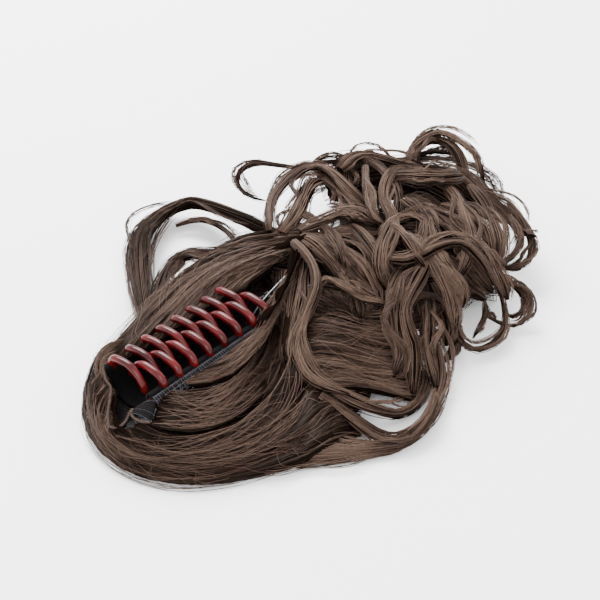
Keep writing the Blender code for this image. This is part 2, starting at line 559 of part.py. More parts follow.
def make_wedge_cutter():
    """The dark gap between the two sides of the hair, over the wire."""
    half = NET_HALF * (1 - STERN_NARROWING) * WEDGE_WIDTH_SHARE
    plan = [(CLAW_HALF + along * WEDGE_LENGTH, across * half + moved * WEDGE_SHIFT)
            for along, across, moved in WEDGE_PLAN]
    keel = SHOULDER_HEIGHT - JAW_RADIUS
    shape = bmesh.new()
    add_loft(shape, [[Vector((x, y, z)) for x, y in plan] for z in (keel, POCKET_TOP)])
    return make_cutter("wedge", shape)


def make_wire_cutter():
    shape = bmesh.new()
    add_wire(shape, WIRE_DIAMETER / 2 + 2 * CLEARANCE)
    tip = wire_points()[-1]
    for vert in shape.verts:
        if vert.co.x > tip.x - WIRE_DIAMETER:
            vert.co.x += 2 * CLEARANCE
    return make_cutter("wire_path", shape)


def make_floor_cutter():
    shape = bmesh.new()
    bmesh.ops.create_cube(shape, size=FLOOR_CUTTER)
    bmesh.ops.translate(shape, verts=shape.verts, vec=(0, 0, -FLOOR_CUTTER / 2))
    return make_cutter("floor", shape)


def main():
    clear_scene()
    made = {name: make_material(name, colour, roughness, metallic)
            for name, colour, roughness, metallic in MATERIALS}
    make_jaw("claw_jaw_left", 1, made["claw_plastic"])
    make_jaw("claw_jaw_right", -1, made["claw_plastic"])
    wire = bmesh.new()
    add_wire(wire, WIRE_DIAMETER / 2)
    make_object("hinge_wire", wire, made["wire_steel"])
    make_net(made["net_black"])
    make_hem(made["hem_brown"])
    make_hair(made["hair_brown"])


main()
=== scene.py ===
"""A claw-clip ponytail hairpiece laid out on a pale surface, with its strands, net and plastic claw.

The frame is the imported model's: +X along the claw towards the ends of the hair, +Y to the claw's
left side, +Z up, the origin on the surface below the middle of the claw. Sizes are in metres.
"""
import math

import bpy
import numpy as np
from bpy.props import FloatProperty, FloatVectorProperty, PointerProperty
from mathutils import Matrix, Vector


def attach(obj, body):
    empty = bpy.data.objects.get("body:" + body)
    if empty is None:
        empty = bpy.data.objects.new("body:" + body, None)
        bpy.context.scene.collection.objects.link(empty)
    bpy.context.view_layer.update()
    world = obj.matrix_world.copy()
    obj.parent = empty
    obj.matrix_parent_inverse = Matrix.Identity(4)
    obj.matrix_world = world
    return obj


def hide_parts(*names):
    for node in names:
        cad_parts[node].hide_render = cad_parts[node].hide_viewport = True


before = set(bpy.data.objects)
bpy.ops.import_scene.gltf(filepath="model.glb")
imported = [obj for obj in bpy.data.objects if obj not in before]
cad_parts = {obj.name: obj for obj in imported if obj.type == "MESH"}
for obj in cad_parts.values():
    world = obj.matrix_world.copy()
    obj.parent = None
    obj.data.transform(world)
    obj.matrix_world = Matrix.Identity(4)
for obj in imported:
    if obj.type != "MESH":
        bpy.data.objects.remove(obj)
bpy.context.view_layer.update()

bl_info = {
    "name": "Ponytail Hairpiece",
    "version": (1, 0, 0),
    "blender": (4, 5, 0),
    "location": "View3D > Sidebar > Hairpiece",
    "description": "Builds the strands, net, hem, wire and claw of a clip-on ponytail",
    "category": "Object",
}

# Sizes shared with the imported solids
TEETH = 8
TOOTH_PITCH = 0.0105
JAW_RADIUS = 0.0159
JAW_WALL = 0.002
JAW_END = 0.0042
SHOULDER_HEIGHT = 0.028
TOOTH_RISE = 0.0056
TIP_DEPTH = 0.0068
WIRE_DIAMETER = 0.0014
WIRE_TAIL = 0.040
WIRE_TAIL_RISE = 0.0158
CLEARANCE = 0.0003
NET_WALL = 0.0012
NET_RIM = 0.0004
NET_SHELF = 0.0045
NET_SHELF_DROP = 0.0037
SHELF_RUN_OUT = 1.3 * TOOTH_PITCH
SHELF_LEFT = 0.02
SHELF_BEND = (0.5, 0.45)
STERN_LENGTH = 0.011
STERN_NARROWING = 0.45
HEM_HEIGHT = 0.0014
TAIL_LENGTH = 0.190
LIP_LENGTH = 0.025
SPREAD_WIDTH = 0.090
SPREAD_HEIGHT = 0.060
SPREAD_START = 0.020
LOCK_WIDTH = 0.015
LOCK_THICKNESS = 0.008
CLAW_HALF = (TEETH - 0.5) * TOOTH_PITCH / 2 + JAW_END
NET_HALF = JAW_RADIUS + CLEARANCE + NET_WALL
RIM_HEIGHT = SHOULDER_HEIGHT + NET_RIM
HINGE_HEIGHT = SHOULDER_HEIGHT - JAW_RADIUS + WIRE_DIAMETER / 2 + CLEARANCE

# Sizes of the looks alone
ARC_STEPS = 24
QUARTER_STEPS = ARC_STEPS // 2
JAW_RIM = 0.0005
CLOTH_THICKNESS = 0.0004
LINING_GAP = 0.0003
GATHERS = 9
GATHER_DEPTH = 0.00055
GATHER_RISE = 0.0012
STITCH_PITCH = 0.0012
STITCH_THREAD = 0.00038
FLOOR_GAP = 0.0001
PIECE_TRIANGLES = 190000

# Widths of a clump of strands, and how far the ends of single strands spread
LOCK_CLUMP = 0.0024
SHEET_CLUMP = 0.0034
FRIZZ = 0.0006

# Loose ribbons beside each lock
LOCK_WISPS = 2

# The strands of a lock: half its width and height, the share of the room round it that they fill, and
# how far they may stray, in half widths and half heights
LOCK_FILL = 0.45
LOCK_COUNT = 0.75
STRAY_KINDS = (0.0, 0.25, 0.8)
STRAY_SHARES = (0.86, 0.11, 0.03)
MOST_ACROSS = 1.25
MOST_LIFT = 1.12

# The body inside a lock, dark as painted shade, as a share of the lock, and the length of one of its steps
CORE_SHARE = 0.62
MASS_CORE_SHARE = 0.68
CORE_STEP = 0.006

# How much tone and thickness differ from strand to strand, and how many strands are pale
STRAND_TONES = 0.19
CLUMP_TONES = 0.09
PALE_STRANDS = 0.06
PALE_TONE = 0.30
STRAND_SIZES = (0.75, 1.25)
STRAND_TIP = 0.45

# A tooth from its root in its own jaw, over the top, to its tip in the grip.
# Columns: across, share of the jaw radius; rise, share of TOOTH_RISE if positive, else of TIP_DEPTH.
TOOTH_LINE = (
    (0.95, -0.35),
    (0.96, 0.20),
    (0.86, 0.70),
    (0.58, 0.95),
    (0.16, 1.00),
    (-0.16, 0.54),
    (-0.39, -0.22),
    (-0.53, -1.00),
)

# The wire from its bend on. Columns: along, share of WIRE_TAIL; up, share of WIRE_TAIL_RISE.
WIRE_BEND = (
    (-0.12, 0.00),
    (0.10, 0.20),
    (0.34, 0.58),
    (0.80, 0.96),
    (1.00, 1.00),
)

# Routes of the hair: (along, across, up). along: -1 and 1 are the claw's ends, below -1 counts
# LIP_LENGTH and above 1 counts TAIL_LENGTH; across: -1 and 1 are SPREAD_START from the middle and
# beyond that counts SPREAD_WIDTH; up counts SPREAD_HEIGHT.
# Sheets of hair, each flowing along rails that lie side by side.
SHEETS = {
    "skirt": (
        ((-0.69, 1.19, 0.25), (-0.87, 1.18, 0.10), (-1.26, 1.08, 0.03), (-1.74, 0.55, 0.02),
         (-2.02, -0.55, 0.02), (-1.93, -1.15, 0.02), (-1.53, -1.35, 0.02), (-0.98, -1.50, 0.02),
         (-0.60, -1.61, 0.02), (-0.20, -1.70, 0.05), (0.19, -1.74, 0.10), (0.52, -1.83, 0.08)),
        ((-0.81, 1.13, 0.37), (-1.21, 1.05, 0.22), (-1.72, 0.40, 0.12), (-1.99, -0.66, 0.08),
         (-1.93, -1.16, 0.08), (-1.57, -1.35, 0.08), (-1.01, -1.49, 0.08), (-0.66, -1.60, 0.10),
         (-0.26, -1.70, 0.13), (0.14, -1.74, 0.17), (0.56, -1.79, 0.13)),
        ((-0.99, 0.94, 0.38), (-1.44, 0.62, 0.27), (-1.77, -0.05, 0.17), (-1.83, -1.00, 0.13),
         (-1.63, -1.23, 0.13), (-1.21, -1.40, 0.13), (-0.77, -1.52, 0.13), (-0.35, -1.60, 0.15),
         (0.05, -1.63, 0.20), (0.41, -1.62, 0.25), (0.85, -1.67, 0.15)),
        ((-1.17, 0.49, 0.37), (-1.48, 0.37, 0.28), (-1.75, -0.11, 0.22), (-1.83, -0.90, 0.18),
         (-1.67, -1.16, 0.17), (-1.29, -1.33, 0.17), (-0.85, -1.46, 0.17), (-0.48, -1.55, 0.18),
         (-0.06, -1.58, 0.22), (0.38, -1.57, 0.28), (0.87, -1.59, 0.18)),
        ((-1.54, -0.03, 0.33), (-1.74, -0.19, 0.28), (-1.86, -0.65, 0.25), (-1.78, -1.06, 0.22),
         (-1.52, -1.22, 0.20), (-1.09, -1.37, 0.20), (-0.71, -1.48, 0.20), (-0.31, -1.53, 0.22),
         (0.12, -1.53, 0.27), (0.54, -1.47, 0.32), (1.011, -1.47, 0.22)),
        ((-1.87, -0.57, 0.30), (-1.85, -0.99, 0.28), (-1.67, -1.11, 0.25), (-1.37, -1.25, 0.23),
         (-0.93, -1.38, 0.22), (-0.55, -1.46, 0.22), (-0.15, -1.48, 0.25), (0.27, -1.45, 0.30),
         (0.62, -1.37, 0.37)),
        ((-1.71, -0.86, 0.33), (-1.66, -1.05, 0.30), (-1.46, -1.18, 0.28), (-1.09, -1.30, 0.27),
         (-0.74, -1.38, 0.25), (-0.39, -1.43, 0.27), (-0.01, -1.44, 0.30), (0.37, -1.39, 0.37),
         (0.76, -1.27, 0.42)),
        ((-1.55, -1.05, 0.40), (-1.39, -1.15, 0.35), (-1.01, -1.26, 0.32), (-0.69, -1.34, 0.30),
         (-0.31, -1.37, 0.30), (0.06, -1.36, 0.35), (0.44, -1.30, 0.42), (0.85, -1.17, 0.47)),
    ),
    "inner": (
        ((-1.47, -1.08, 0.40), (-1.22, -1.17, 0.37), (-0.89, -1.26, 0.33), (-0.55, -1.31, 0.30),
         (-0.17, -1.31, 0.28), (0.19, -1.27, 0.28)),
        ((-1.23, -1.05, 0.42), (-1.01, -1.15, 0.40), (-0.76, -1.23, 0.35), (-0.43, -1.27, 0.32),
         (-0.03, -1.25, 0.28), (0.33, -1.19, 0.28)),
        ((-0.98, -1.00, 0.43), (-0.81, -1.13, 0.42), (-0.54, -1.20, 0.38), (-0.15, -1.18, 0.32),
         (0.29, -1.13, 0.28), (0.60, -1.08, 0.28)),
        ((-0.80, -0.88, 0.45), (-0.64, -1.09, 0.43), (-0.37, -1.14, 0.40), (0.05, -1.11, 0.35),
         (0.49, -1.04, 0.32), (0.78, -1.00, 0.32)),
    ),
    "right": (
        ((-0.60, -0.98, 0.45), (-0.39, -1.08, 0.43), (-0.12, -1.13, 0.43), (0.28, -1.11, 0.43),
         (0.67, -1.05, 0.45), (1.008, -0.96, 0.50), (1.089, -0.61, 0.55)),
        ((-0.37, -0.99, 0.45), (-0.13, -1.06, 0.45), (0.21, -1.07, 0.45), (0.63, -1.03, 0.47),
         (1.004, -0.83, 0.52), (1.092, -0.48, 0.57), (1.166, -0.16, 0.60)),
        ((-0.09, -1.01, 0.45), (0.15, -1.05, 0.45), (0.46, -1.04, 0.47), (0.87, -0.99, 0.50),
         (1.061, -0.68, 0.55), (1.150, -0.26, 0.60), (1.218, 0.07, 0.63)),
        ((0.23, -1.00, 0.45), (0.47, -1.01, 0.47), (0.84, -0.85, 0.50), (1.058, -0.60, 0.55),
         (1.150, -0.26, 0.60), (1.224, 0.08, 0.63)),
        ((0.53, -0.91, 0.45), (0.79, -0.79, 0.47), (1.038, -0.53, 0.50), (1.123, -0.25, 0.55),
         (1.199, 0.01, 0.60), (1.254, 0.23, 0.63)),
    ),
    "sheet": (
        ((-1.00, 1.15, 0.10), (-0.55, 1.25, 0.12), (-0.02, 1.31, 0.15), (0.56, 1.35, 0.20),
         (1.056, 1.39, 0.27), (1.207, 1.33, 0.37), (1.293, 1.12, 0.48)),
        ((-1.05, 1.07, 0.27), (-0.65, 1.12, 0.33), (-0.19, 1.16, 0.38), (0.37, 1.21, 0.43),
         (1.010, 1.24, 0.48), (1.155, 1.19, 0.53), (1.255, 1.03, 0.57)),
        ((-0.76, 1.10, 0.40), (-0.31, 1.11, 0.45), (0.33, 1.19, 0.47), (1.005, 1.23, 0.50),
         (1.128, 1.14, 0.55), (1.228, 0.90, 0.58)),
        ((-0.83, 0.67, 0.50), (-0.55, 0.89, 0.52), (0.02, 1.05, 0.48), (0.64, 1.11, 0.52),
         (1.041, 1.11, 0.55), (1.148, 1.03, 0.58), (1.241, 0.65, 0.60)),
        ((-0.41, 0.51, 0.51), (-0.09, 0.72, 0.53), (0.43, 1.02, 0.52), (0.98, 1.05, 0.55),
         (1.098, 1.01, 0.58), (1.186, 0.75, 0.60), (1.258, 0.37, 0.62)),
        ((0.13, 0.48, 0.52), (0.44, 0.71, 0.53), (0.94, 1.00, 0.52), (1.075, 0.85, 0.55),
         (1.155, 0.55, 0.57), (1.224, 0.22, 0.60), (1.262, 0.19, 0.62)),
        ((0.64, 0.46, 0.52), (0.96, 0.63, 0.52), (1.043, 0.70, 0.50), (1.098, 0.70, 0.50),
         (1.162, 0.55, 0.53), (1.220, 0.40, 0.57), (1.260, 0.25, 0.60)),
        ((1.012, 0.29, 0.52), (1.073, 0.48, 0.52), (1.146, 0.55, 0.52), (1.197, 0.42, 0.55),
         (1.244, 0.25, 0.58)),
    ),
    "fan": (
        ((1.042, -1.12, 0.45), (1.079, -1.20, 0.47), (1.113, -1.31, 0.45), (1.155, -1.42, 0.40),
         (1.202, -1.51, 0.33), (1.266, -1.60, 0.22)),
        ((0.83, -1.22, 0.40), (1.002, -1.31, 0.43), (1.040, -1.43, 0.42), (1.083, -1.54, 0.35),
         (1.141, -1.63, 0.27), (1.221, -1.67, 0.17)),
        ((0.61, -1.35, 0.35), (0.80, -1.43, 0.37), (0.98, -1.54, 0.33), (1.044, -1.64, 0.25),
         (1.093, -1.73, 0.18), (1.153, -1.79, 0.13)),
        ((0.55, -1.51, 0.30), (0.77, -1.59, 0.30), (0.98, -1.67, 0.25), (1.040, -1.75, 0.17),
         (1.078, -1.84, 0.12), (1.139, -1.87, 0.10)),
    ),
    "veil": (
        ((-0.33, -1.70, 0.05), (-0.04, -1.81, 0.03), (0.24, -1.92, 0.03), (0.50, -2.01, 0.05),
         (0.77, -2.07, 0.10), (1.015, -2.07, 0.17), (1.082, -2.01, 0.23)),
        ((-0.19, -1.68, 0.10), (0.11, -1.78, 0.08), (0.37, -1.88, 0.07), (0.59, -1.99, 0.08),
         (0.82, -2.05, 0.13), (1.023, -2.04, 0.20), (1.085, -1.99, 0.27)),
        ((0.04, -1.67, 0.15), (0.31, -1.75, 0.13), (0.47, -1.86, 0.10), (0.66, -1.96, 0.12),
         (0.86, -2.01, 0.17), (1.032, -2.01, 0.23), (1.087, -1.95, 0.30)),
    ),
    "bed": (
        ((-1.74, -0.63, 0.17), (-1.43, -1.13, 0.15), (-0.92, -1.31, 0.15), (-0.45, -1.42, 0.15),
         (0.09, -1.44, 0.17), (0.58, -1.37, 0.20)),
        ((-1.36, -0.85, 0.23), (-1.02, -1.13, 0.20), (-0.75, -1.27, 0.20), (-0.31, -1.34, 0.20),
         (0.22, -1.33, 0.22), (0.78, -1.22, 0.23)),
        ((-0.98, -0.96, 0.28), (-0.77, -1.13, 0.25), (-0.48, -1.22, 0.23), (-0.06, -1.25, 0.23),
         (0.46, -1.20, 0.25), (1.008, -1.06, 0.28)),
        ((-0.77, -1.00, 0.33), (-0.56, -1.10, 0.30), (-0.23, -1.16, 0.27), (0.17, -1.16, 0.27),
         (0.64, -1.09, 0.30), (1.047, -0.72, 0.33)),
        ((-0.50, -1.00, 0.37), (-0.26, -1.08, 0.33), (0.07, -1.10, 0.30), (0.46, -1.06, 0.30),
         (0.89, -0.87, 0.33), (1.095, -0.32, 0.38)),
    ),
    "fold": (
        ((-0.50, 1.06, 0.47), (-0.68, 1.09, 0.47), (-0.86, 1.09, 0.45), (-1.00, 1.05, 0.42),
         (-1.13, 1.00, 0.37)),
        ((-0.65, 1.00, 0.48), (-0.78, 1.03, 0.47), (-0.92, 1.02, 0.46), (-1.03, 0.97, 0.43),
         (-1.17, 0.72, 0.40)),
        ((-0.78, 0.80, 0.47), (-0.89, 0.83, 0.47), (-0.99, 0.77, 0.46), (-1.14, 0.62, 0.44),
         (-1.24, 0.41, 0.42)),
    ),
    "flap": (
        ((-1.06, 0.87, 0.42), (-1.21, 1.01, 0.30), (-1.42, 0.92, 0.18), (-1.70, 0.42, 0.12),
         (-1.92, -0.29, 0.08), (-1.98, -1.01, 0.07)),
        ((-1.24, 0.41, 0.42), (-1.38, 0.53, 0.33), (-1.57, 0.42, 0.23), (-1.80, -0.01, 0.17),
         (-1.94, -0.65, 0.13), (-1.94, -1.08, 0.12)),
        ((-1.29, 0.18, 0.42), (-1.48, 0.18, 0.34), (-1.68, 0.08, 0.27), (-1.84, -0.29, 0.20),
         (-1.91, -0.86, 0.17), (-1.84, -1.11, 0.15)),
        ((-1.64, -0.19, 0.37), (-1.76, -0.14, 0.30), (-1.89, -0.37, 0.24), (-1.94, -0.77, 0.21),
         (-1.88, -1.07, 0.18), (-1.68, -1.19, 0.17)),
        ((-1.84, -0.41, 0.33), (-1.93, -0.47, 0.28), (-1.95, -0.74, 0.25), (-1.89, -1.03, 0.22),
         (-1.75, -1.14, 0.20), (-1.50, -1.24, 0.18)),
    ),
}

# The rim of the mouth, from the jaws to its tip, on either side, and its lowest line; then the edge of
# the gathered cloth beside it.
MOUTH_LEFT = ((-1.00, 0.84, 0.47), (-1.12, 0.66, 0.46), (-1.23, 0.43, 0.44), (-1.27, 0.23, 0.42),
    (-1.45, 0.02, 0.39), (-1.64, -0.17, 0.37), (-1.79, -0.35, 0.34), (-1.87, -0.50, 0.31))
MOUTH_RIGHT = ((-1.00, -0.84, 0.47), (-1.20, -0.78, 0.43), (-1.34, -0.68, 0.40), (-1.46, -0.67, 0.38),
    (-1.61, -0.72, 0.34), (-1.75, -0.70, 0.32), (-1.86, -0.58, 0.31))
MOUTH_KEEL = ((-1.00, 0.00, 0.21), (-1.34, -0.12, 0.21), (-1.62, -0.30, 0.23), (-1.86, -0.54, 0.30))
GATHER_EDGE = ((-1.46, -0.67, 0.38), (-1.52, -0.92, 0.38), (-1.50, -1.04, 0.39), (-1.41, -1.08, 0.40))

# The outer edge of the gathered cloth, which the hair covers: x, y and z in metres.
GATHER_OUTER = ((-0.0436, -0.0200, 0.0262), (-0.0490, -0.0238, 0.0262), (-0.0538, -0.0270, 0.0243))

# Locks, each with its own route. width and depth are shares of LOCK_WIDTH and LOCK_THICKNESS, and
# tone is how light the lock is, from 0 to 1.
# Columns: name, width, depth, tone, route.
CURLS = (
    ("left_loop", 1.02, 1.00, 0.40, ((-0.10, 1.04, 0.37), (0.29, 1.31, 0.28), (0.89, 1.65, 0.17),
        (1.104, 1.91, 0.12), (1.218, 2.00, 0.13), (1.299, 1.92, 0.20), (1.307, 1.72, 0.28),
        (1.288, 1.43, 0.38), (1.263, 1.17, 0.47), (1.243, 0.85, 0.53))),
    ("left_loop_inner", 0.27, 0.38, 0.70, ((1.221, 1.87, 0.10), (1.257, 1.82, 0.13), (1.275, 1.72, 0.18),
        (1.247, 1.51, 0.28), (1.167, 1.22, 0.45))),
    ("left_hump", 0.69, 1.00, 0.38, ((0.13, 1.12, 0.37), (0.73, 1.38, 0.27), (1.039, 1.51, 0.23),
        (1.086, 1.45, 0.30), (1.089, 1.24, 0.43), (1.127, 1.09, 0.53))),
    ("s_lock", 0.38, 0.75, 0.72, ((1.203, 0.26, 0.68), (1.186, -0.23, 0.68), (1.160, -0.77, 0.67),
        (1.115, -1.06, 0.63), (1.071, -1.11, 0.57), (1.017, -1.15, 0.50), (0.82, -1.21, 0.45),
        (0.62, -1.31, 0.40), (0.52, -1.42, 0.35), (0.55, -1.54, 0.32), (0.70, -1.64, 0.28))),
    ("inner_tail_lock", 0.80, 0.88, 0.70, ((1.250, 0.45, 0.62), (1.255, -0.04, 0.60), (1.245, -0.64, 0.58),
        (1.228, -1.05, 0.53), (1.220, -1.17, 0.47), (1.236, -1.26, 0.40), (1.273, -1.35, 0.33))),
    ("cross_band", 0.40, 0.62, 0.72, ((1.122, -1.06, 0.60), (1.155, -1.07, 0.62), (1.168, -1.15, 0.60),
        (1.174, -1.23, 0.57), (1.191, -1.31, 0.52), (1.231, -1.40, 0.45))),
    ("big_loop", 0.62, 1.00, 0.66, ((0.48, -1.52, 0.27), (0.55, -1.63, 0.18), (0.58, -1.77, 0.12),
        (0.61, -1.89, 0.08), (0.71, -1.98, 0.08), (1.00, -2.01, 0.08), (1.091, -1.96, 0.08),
        (1.184, -1.86, 0.10), (1.248, -1.72, 0.17), (1.275, -1.59, 0.25), (1.287, -1.48, 0.32))),
    ("big_loop_in", 0.53, 0.75, 0.66, ((0.63, -1.55, 0.28), (0.77, -1.67, 0.18), (0.90, -1.78, 0.12),
        (1.012, -1.85, 0.08), (1.070, -1.87, 0.08), (1.139, -1.82, 0.10), (1.204, -1.72, 0.13))),
    ("down_lock", 0.73, 0.88, 0.82, ((1.391, -1.40, 0.70), (1.324, -1.45, 0.67), (1.253, -1.50, 0.62),
        (1.204, -1.54, 0.55), (1.168, -1.62, 0.47), (1.148, -1.70, 0.35), (1.118, -1.77, 0.23),
        (1.077, -1.84, 0.13))),
    ("top_left_loop", 0.53, 0.75, 0.60, ((1.238, 1.09, 0.55), (1.285, 1.19, 0.60), (1.341, 1.27, 0.63),
        (1.418, 1.32, 0.65), (1.486, 1.32, 0.67), (1.537, 1.27, 0.67), (1.542, 1.15, 0.65),
        (1.526, 1.02, 0.62), (1.514, 0.48, 0.58), (1.519, -0.05, 0.53))),
    ("top_left_band", 0.87, 0.75, 0.62, ((1.247, 1.02, 0.57), (1.317, 1.05, 0.60), (1.396, 1.13, 0.62),
        (1.464, 1.20, 0.62), (1.523, 1.21, 0.58), (1.541, 1.14, 0.53))),
    ("top_wisp", 0.27, 0.38, 0.40, ((1.588, 1.32, 0.60), (1.536, 1.41, 0.57), (1.517, 1.56, 0.53),
        (1.497, 1.69, 0.50), (1.464, 1.76, 0.45), (1.428, 1.75, 0.40), (1.411, 1.68, 0.33),
        (1.427, 1.61, 0.27), (1.456, 1.56, 0.22))),
    ("outline_a", 0.33, 0.50, 0.40, ((1.522, 1.34, 0.63), (1.580, 1.32, 0.62), (1.640, 1.26, 0.58),
        (1.710, 1.23, 0.55), (1.748, 1.17, 0.53))),
    ("outline_b", 0.80, 1.00, 0.55, ((1.601, 1.22, 0.57), (1.669, 1.23, 0.58), (1.719, 1.17, 0.57),
        (1.740, 1.06, 0.55), (1.753, 0.77, 0.53), (1.782, 0.26, 0.52))),
    ("back_column", 0.60, 0.88, 0.65, ((1.663, 1.28, 0.50), (1.609, 1.18, 0.47), (1.562, 1.05, 0.45),
        (1.534, 0.64, 0.45))),
    ("thin_light", 0.33, 0.50, 0.78, ((1.648, 1.08, 0.63), (1.562, 0.66, 0.67), (1.495, -0.02, 0.67),
        (1.458, -0.55, 0.63), (1.457, -0.95, 0.60))),
    ("mid_band_a", 0.67, 0.75, 0.65, ((1.277, 0.68, 0.60), (1.338, 0.48, 0.62), (1.417, 0.35, 0.62),
        (1.450, -0.03, 0.60), (1.446, -0.62, 0.60))),
    ("mid_band_b", 0.80, 0.88, 0.60, ((1.251, 0.24, 0.58), (1.323, -0.01, 0.57), (1.384, -0.42, 0.55),
        (1.435, -0.85, 0.53), (1.467, -1.08, 0.52))),
    ("oval_left", 0.47, 0.75, 0.71, ((1.711, 0.53, 0.63), (1.641, 0.42, 0.67), (1.567, 0.06, 0.68),
        (1.506, -0.45, 0.68), (1.467, -0.97, 0.68), (1.408, -1.08, 0.70), (1.338, -1.15, 0.72),
        (1.280, -1.22, 0.70), (1.253, -1.27, 0.63), (1.252, -1.33, 0.53))),
    ("oval_top", 0.87, 1.00, 0.56, ((1.636, 0.52, 0.62), (1.675, 0.18, 0.65), (1.699, -0.34, 0.67),
        (1.744, -0.71, 0.65), (1.807, -0.88, 0.60))),
    ("top_loop_out", 0.33, 0.50, 0.66, ((1.782, 0.85, 0.53), (1.838, 1.03, 0.57), (1.887, 1.04, 0.60),
        (1.933, 0.94, 0.63), (1.947, 0.39, 0.63), (1.943, -0.22, 0.60), (1.926, -0.64, 0.55),
        (1.891, -1.00, 0.50), (1.865, -1.07, 0.45))),
    ("top_loop_in", 0.60, 0.75, 0.66, ((1.799, 0.86, 0.52), (1.846, 1.02, 0.55), (1.897, 1.01, 0.57),
        (1.930, 0.80, 0.57), (1.932, 0.33, 0.55), (1.911, -0.08, 0.52), (1.880, -0.43, 0.47),
        (1.857, -0.78, 0.42))),
    ("top_loop_bar", 0.27, 0.38, 0.46, ((1.855, 1.02, 0.47), (1.897, 0.90, 0.47), (1.925, 0.59, 0.47),
        (1.940, 0.19, 0.47))),
    ("right_outline", 0.80, 1.00, 0.58, ((1.847, -0.51, 0.52), (1.841, -1.01, 0.48), (1.822, -1.15, 0.45),
        (1.812, -1.28, 0.42), (1.801, -1.40, 0.38), (1.773, -1.51, 0.35))),
    ("right_curl_out", 0.33, 0.62, 0.58, ((1.836, -1.28, 0.45), (1.813, -1.42, 0.43), (1.782, -1.53, 0.40),
        (1.749, -1.61, 0.33), (1.716, -1.64, 0.27), (1.692, -1.60, 0.20), (1.680, -1.53, 0.17),
        (1.684, -1.45, 0.17))),
    ("right_curl_in", 0.33, 0.62, 0.61, ((1.788, -1.37, 0.45), (1.763, -1.47, 0.43), (1.731, -1.55, 0.38),
        (1.693, -1.56, 0.32), (1.665, -1.53, 0.25), (1.645, -1.47, 0.22))),
    ("right_tuft", 0.27, 0.38, 0.46, ((1.789, -1.46, 0.40), (1.763, -1.57, 0.43), (1.751, -1.63, 0.47))),
    ("arc_lock", 0.47, 0.75, 0.82, ((1.306, -1.22, 0.72), (1.315, -1.32, 0.73), (1.359, -1.38, 0.75),
        (1.408, -1.41, 0.77), (1.459, -1.46, 0.77), (1.483, -1.52, 0.75), (1.487, -1.59, 0.70),
        (1.489, -1.66, 0.62), (1.486, -1.73, 0.52), (1.480, -1.81, 0.40))),
    ("ring", 0.40, 0.62, 0.76, ((1.424, -1.07, 0.73), (1.413, -1.16, 0.75), (1.381, -1.27, 0.77),
        (1.348, -1.37, 0.77), (1.337, -1.46, 0.73))),
    ("ring_top", 0.40, 0.62, 0.74, ((1.385, -1.04, 0.67), (1.425, -1.03, 0.70), (1.468, -1.04, 0.72),
        (1.509, -1.09, 0.72), (1.518, -1.18, 0.70), (1.495, -1.29, 0.68), (1.448, -1.38, 0.68))),
    ("fan_tail_a", 0.60, 0.75, 0.76, ((1.409, -1.42, 0.73), (1.388, -1.53, 0.70), (1.379, -1.62, 0.63),
        (1.369, -1.69, 0.55), (1.348, -1.72, 0.47))),
    ("fan_tail_b", 0.53, 0.75, 0.74, ((1.389, -1.41, 0.72), (1.358, -1.53, 0.68), (1.338, -1.62, 0.62),
        (1.328, -1.68, 0.53), (1.315, -1.73, 0.45), (1.304, -1.75, 0.33))),
    ("small_loop", 0.23, 0.50, 0.61, ((1.378, -1.67, 0.47), (1.359, -1.68, 0.33), (1.342, -1.71, 0.22),
        (1.335, -1.77, 0.13), (1.354, -1.83, 0.08), (1.399, -1.87, 0.08), (1.450, -1.86, 0.10),
        (1.498, -1.81, 0.15), (1.524, -1.75, 0.23), (1.533, -1.69, 0.33), (1.535, -1.61, 0.42))),
    ("small_loop_in", 0.17, 0.31, 0.46, ((1.461, -1.71, 0.33), (1.445, -1.74, 0.23), (1.423, -1.75, 0.15),
        (1.390, -1.75, 0.08))),
    ("small_bar", 0.17, 0.31, 0.46, ((1.447, -1.73, 0.23), (1.459, -1.78, 0.18), (1.475, -1.83, 0.13))),
    ("tuft_curl", 0.27, 0.50, 0.61, ((1.559, -1.68, 0.40), (1.558, -1.75, 0.37), (1.570, -1.80, 0.30),
        (1.568, -1.83, 0.22), (1.549, -1.85, 0.15), (1.526, -1.82, 0.12), (1.518, -1.77, 0.12))),
    ("tuft_out", 0.20, 0.38, 0.61, ((1.554, -1.75, 0.37), (1.577, -1.81, 0.33), (1.583, -1.85, 0.23),
        (1.569, -1.88, 0.15), (1.547, -1.88, 0.08), (1.514, -1.86, 0.07), (1.495, -1.80, 0.07))),
    ("right_band_a", 0.67, 0.75, 0.71, ((1.564, -1.43, 0.60), (1.545, -1.55, 0.57), (1.539, -1.65, 0.50),
        (1.527, -1.74, 0.42), (1.517, -1.79, 0.30))),
    ("right_band_b", 0.67, 0.75, 0.66, ((1.641, -1.08, 0.60), (1.657, -1.22, 0.58), (1.656, -1.36, 0.55),
        (1.624, -1.48, 0.52), (1.589, -1.57, 0.47))),
    ("fill_a", 0.60, 0.75, 0.61, ((1.652, -0.58, 0.53), (1.612, -1.06, 0.55), (1.589, -1.22, 0.57),
        (1.569, -1.36, 0.57), (1.544, -1.49, 0.55))),
    ("fill_b", 0.60, 0.75, 0.56, ((1.261, -1.36, 0.43), (1.318, -1.44, 0.43), (1.359, -1.55, 0.40),
        (1.375, -1.67, 0.33))),
    ("fill_c", 0.60, 0.75, 0.54, ((1.206, -1.52, 0.33), (1.286, -1.56, 0.30), (1.363, -1.59, 0.25),
        (1.399, -1.65, 0.17))),
    ("low_tuft", 0.53, 0.62, 0.56, ((1.286, -1.65, 0.20), (1.346, -1.64, 0.17), (1.340, -1.71, 0.10),
        (1.304, -1.74, 0.08), (1.256, -1.76, 0.08))),
    ("sheer_front", 0.93, 0.38, 0.70, ((-0.61, -1.58, 0.07), (-0.25, -1.69, 0.05), (0.10, -1.83, 0.05),
        (0.41, -1.92, 0.05), (0.65, -2.00, 0.07))),
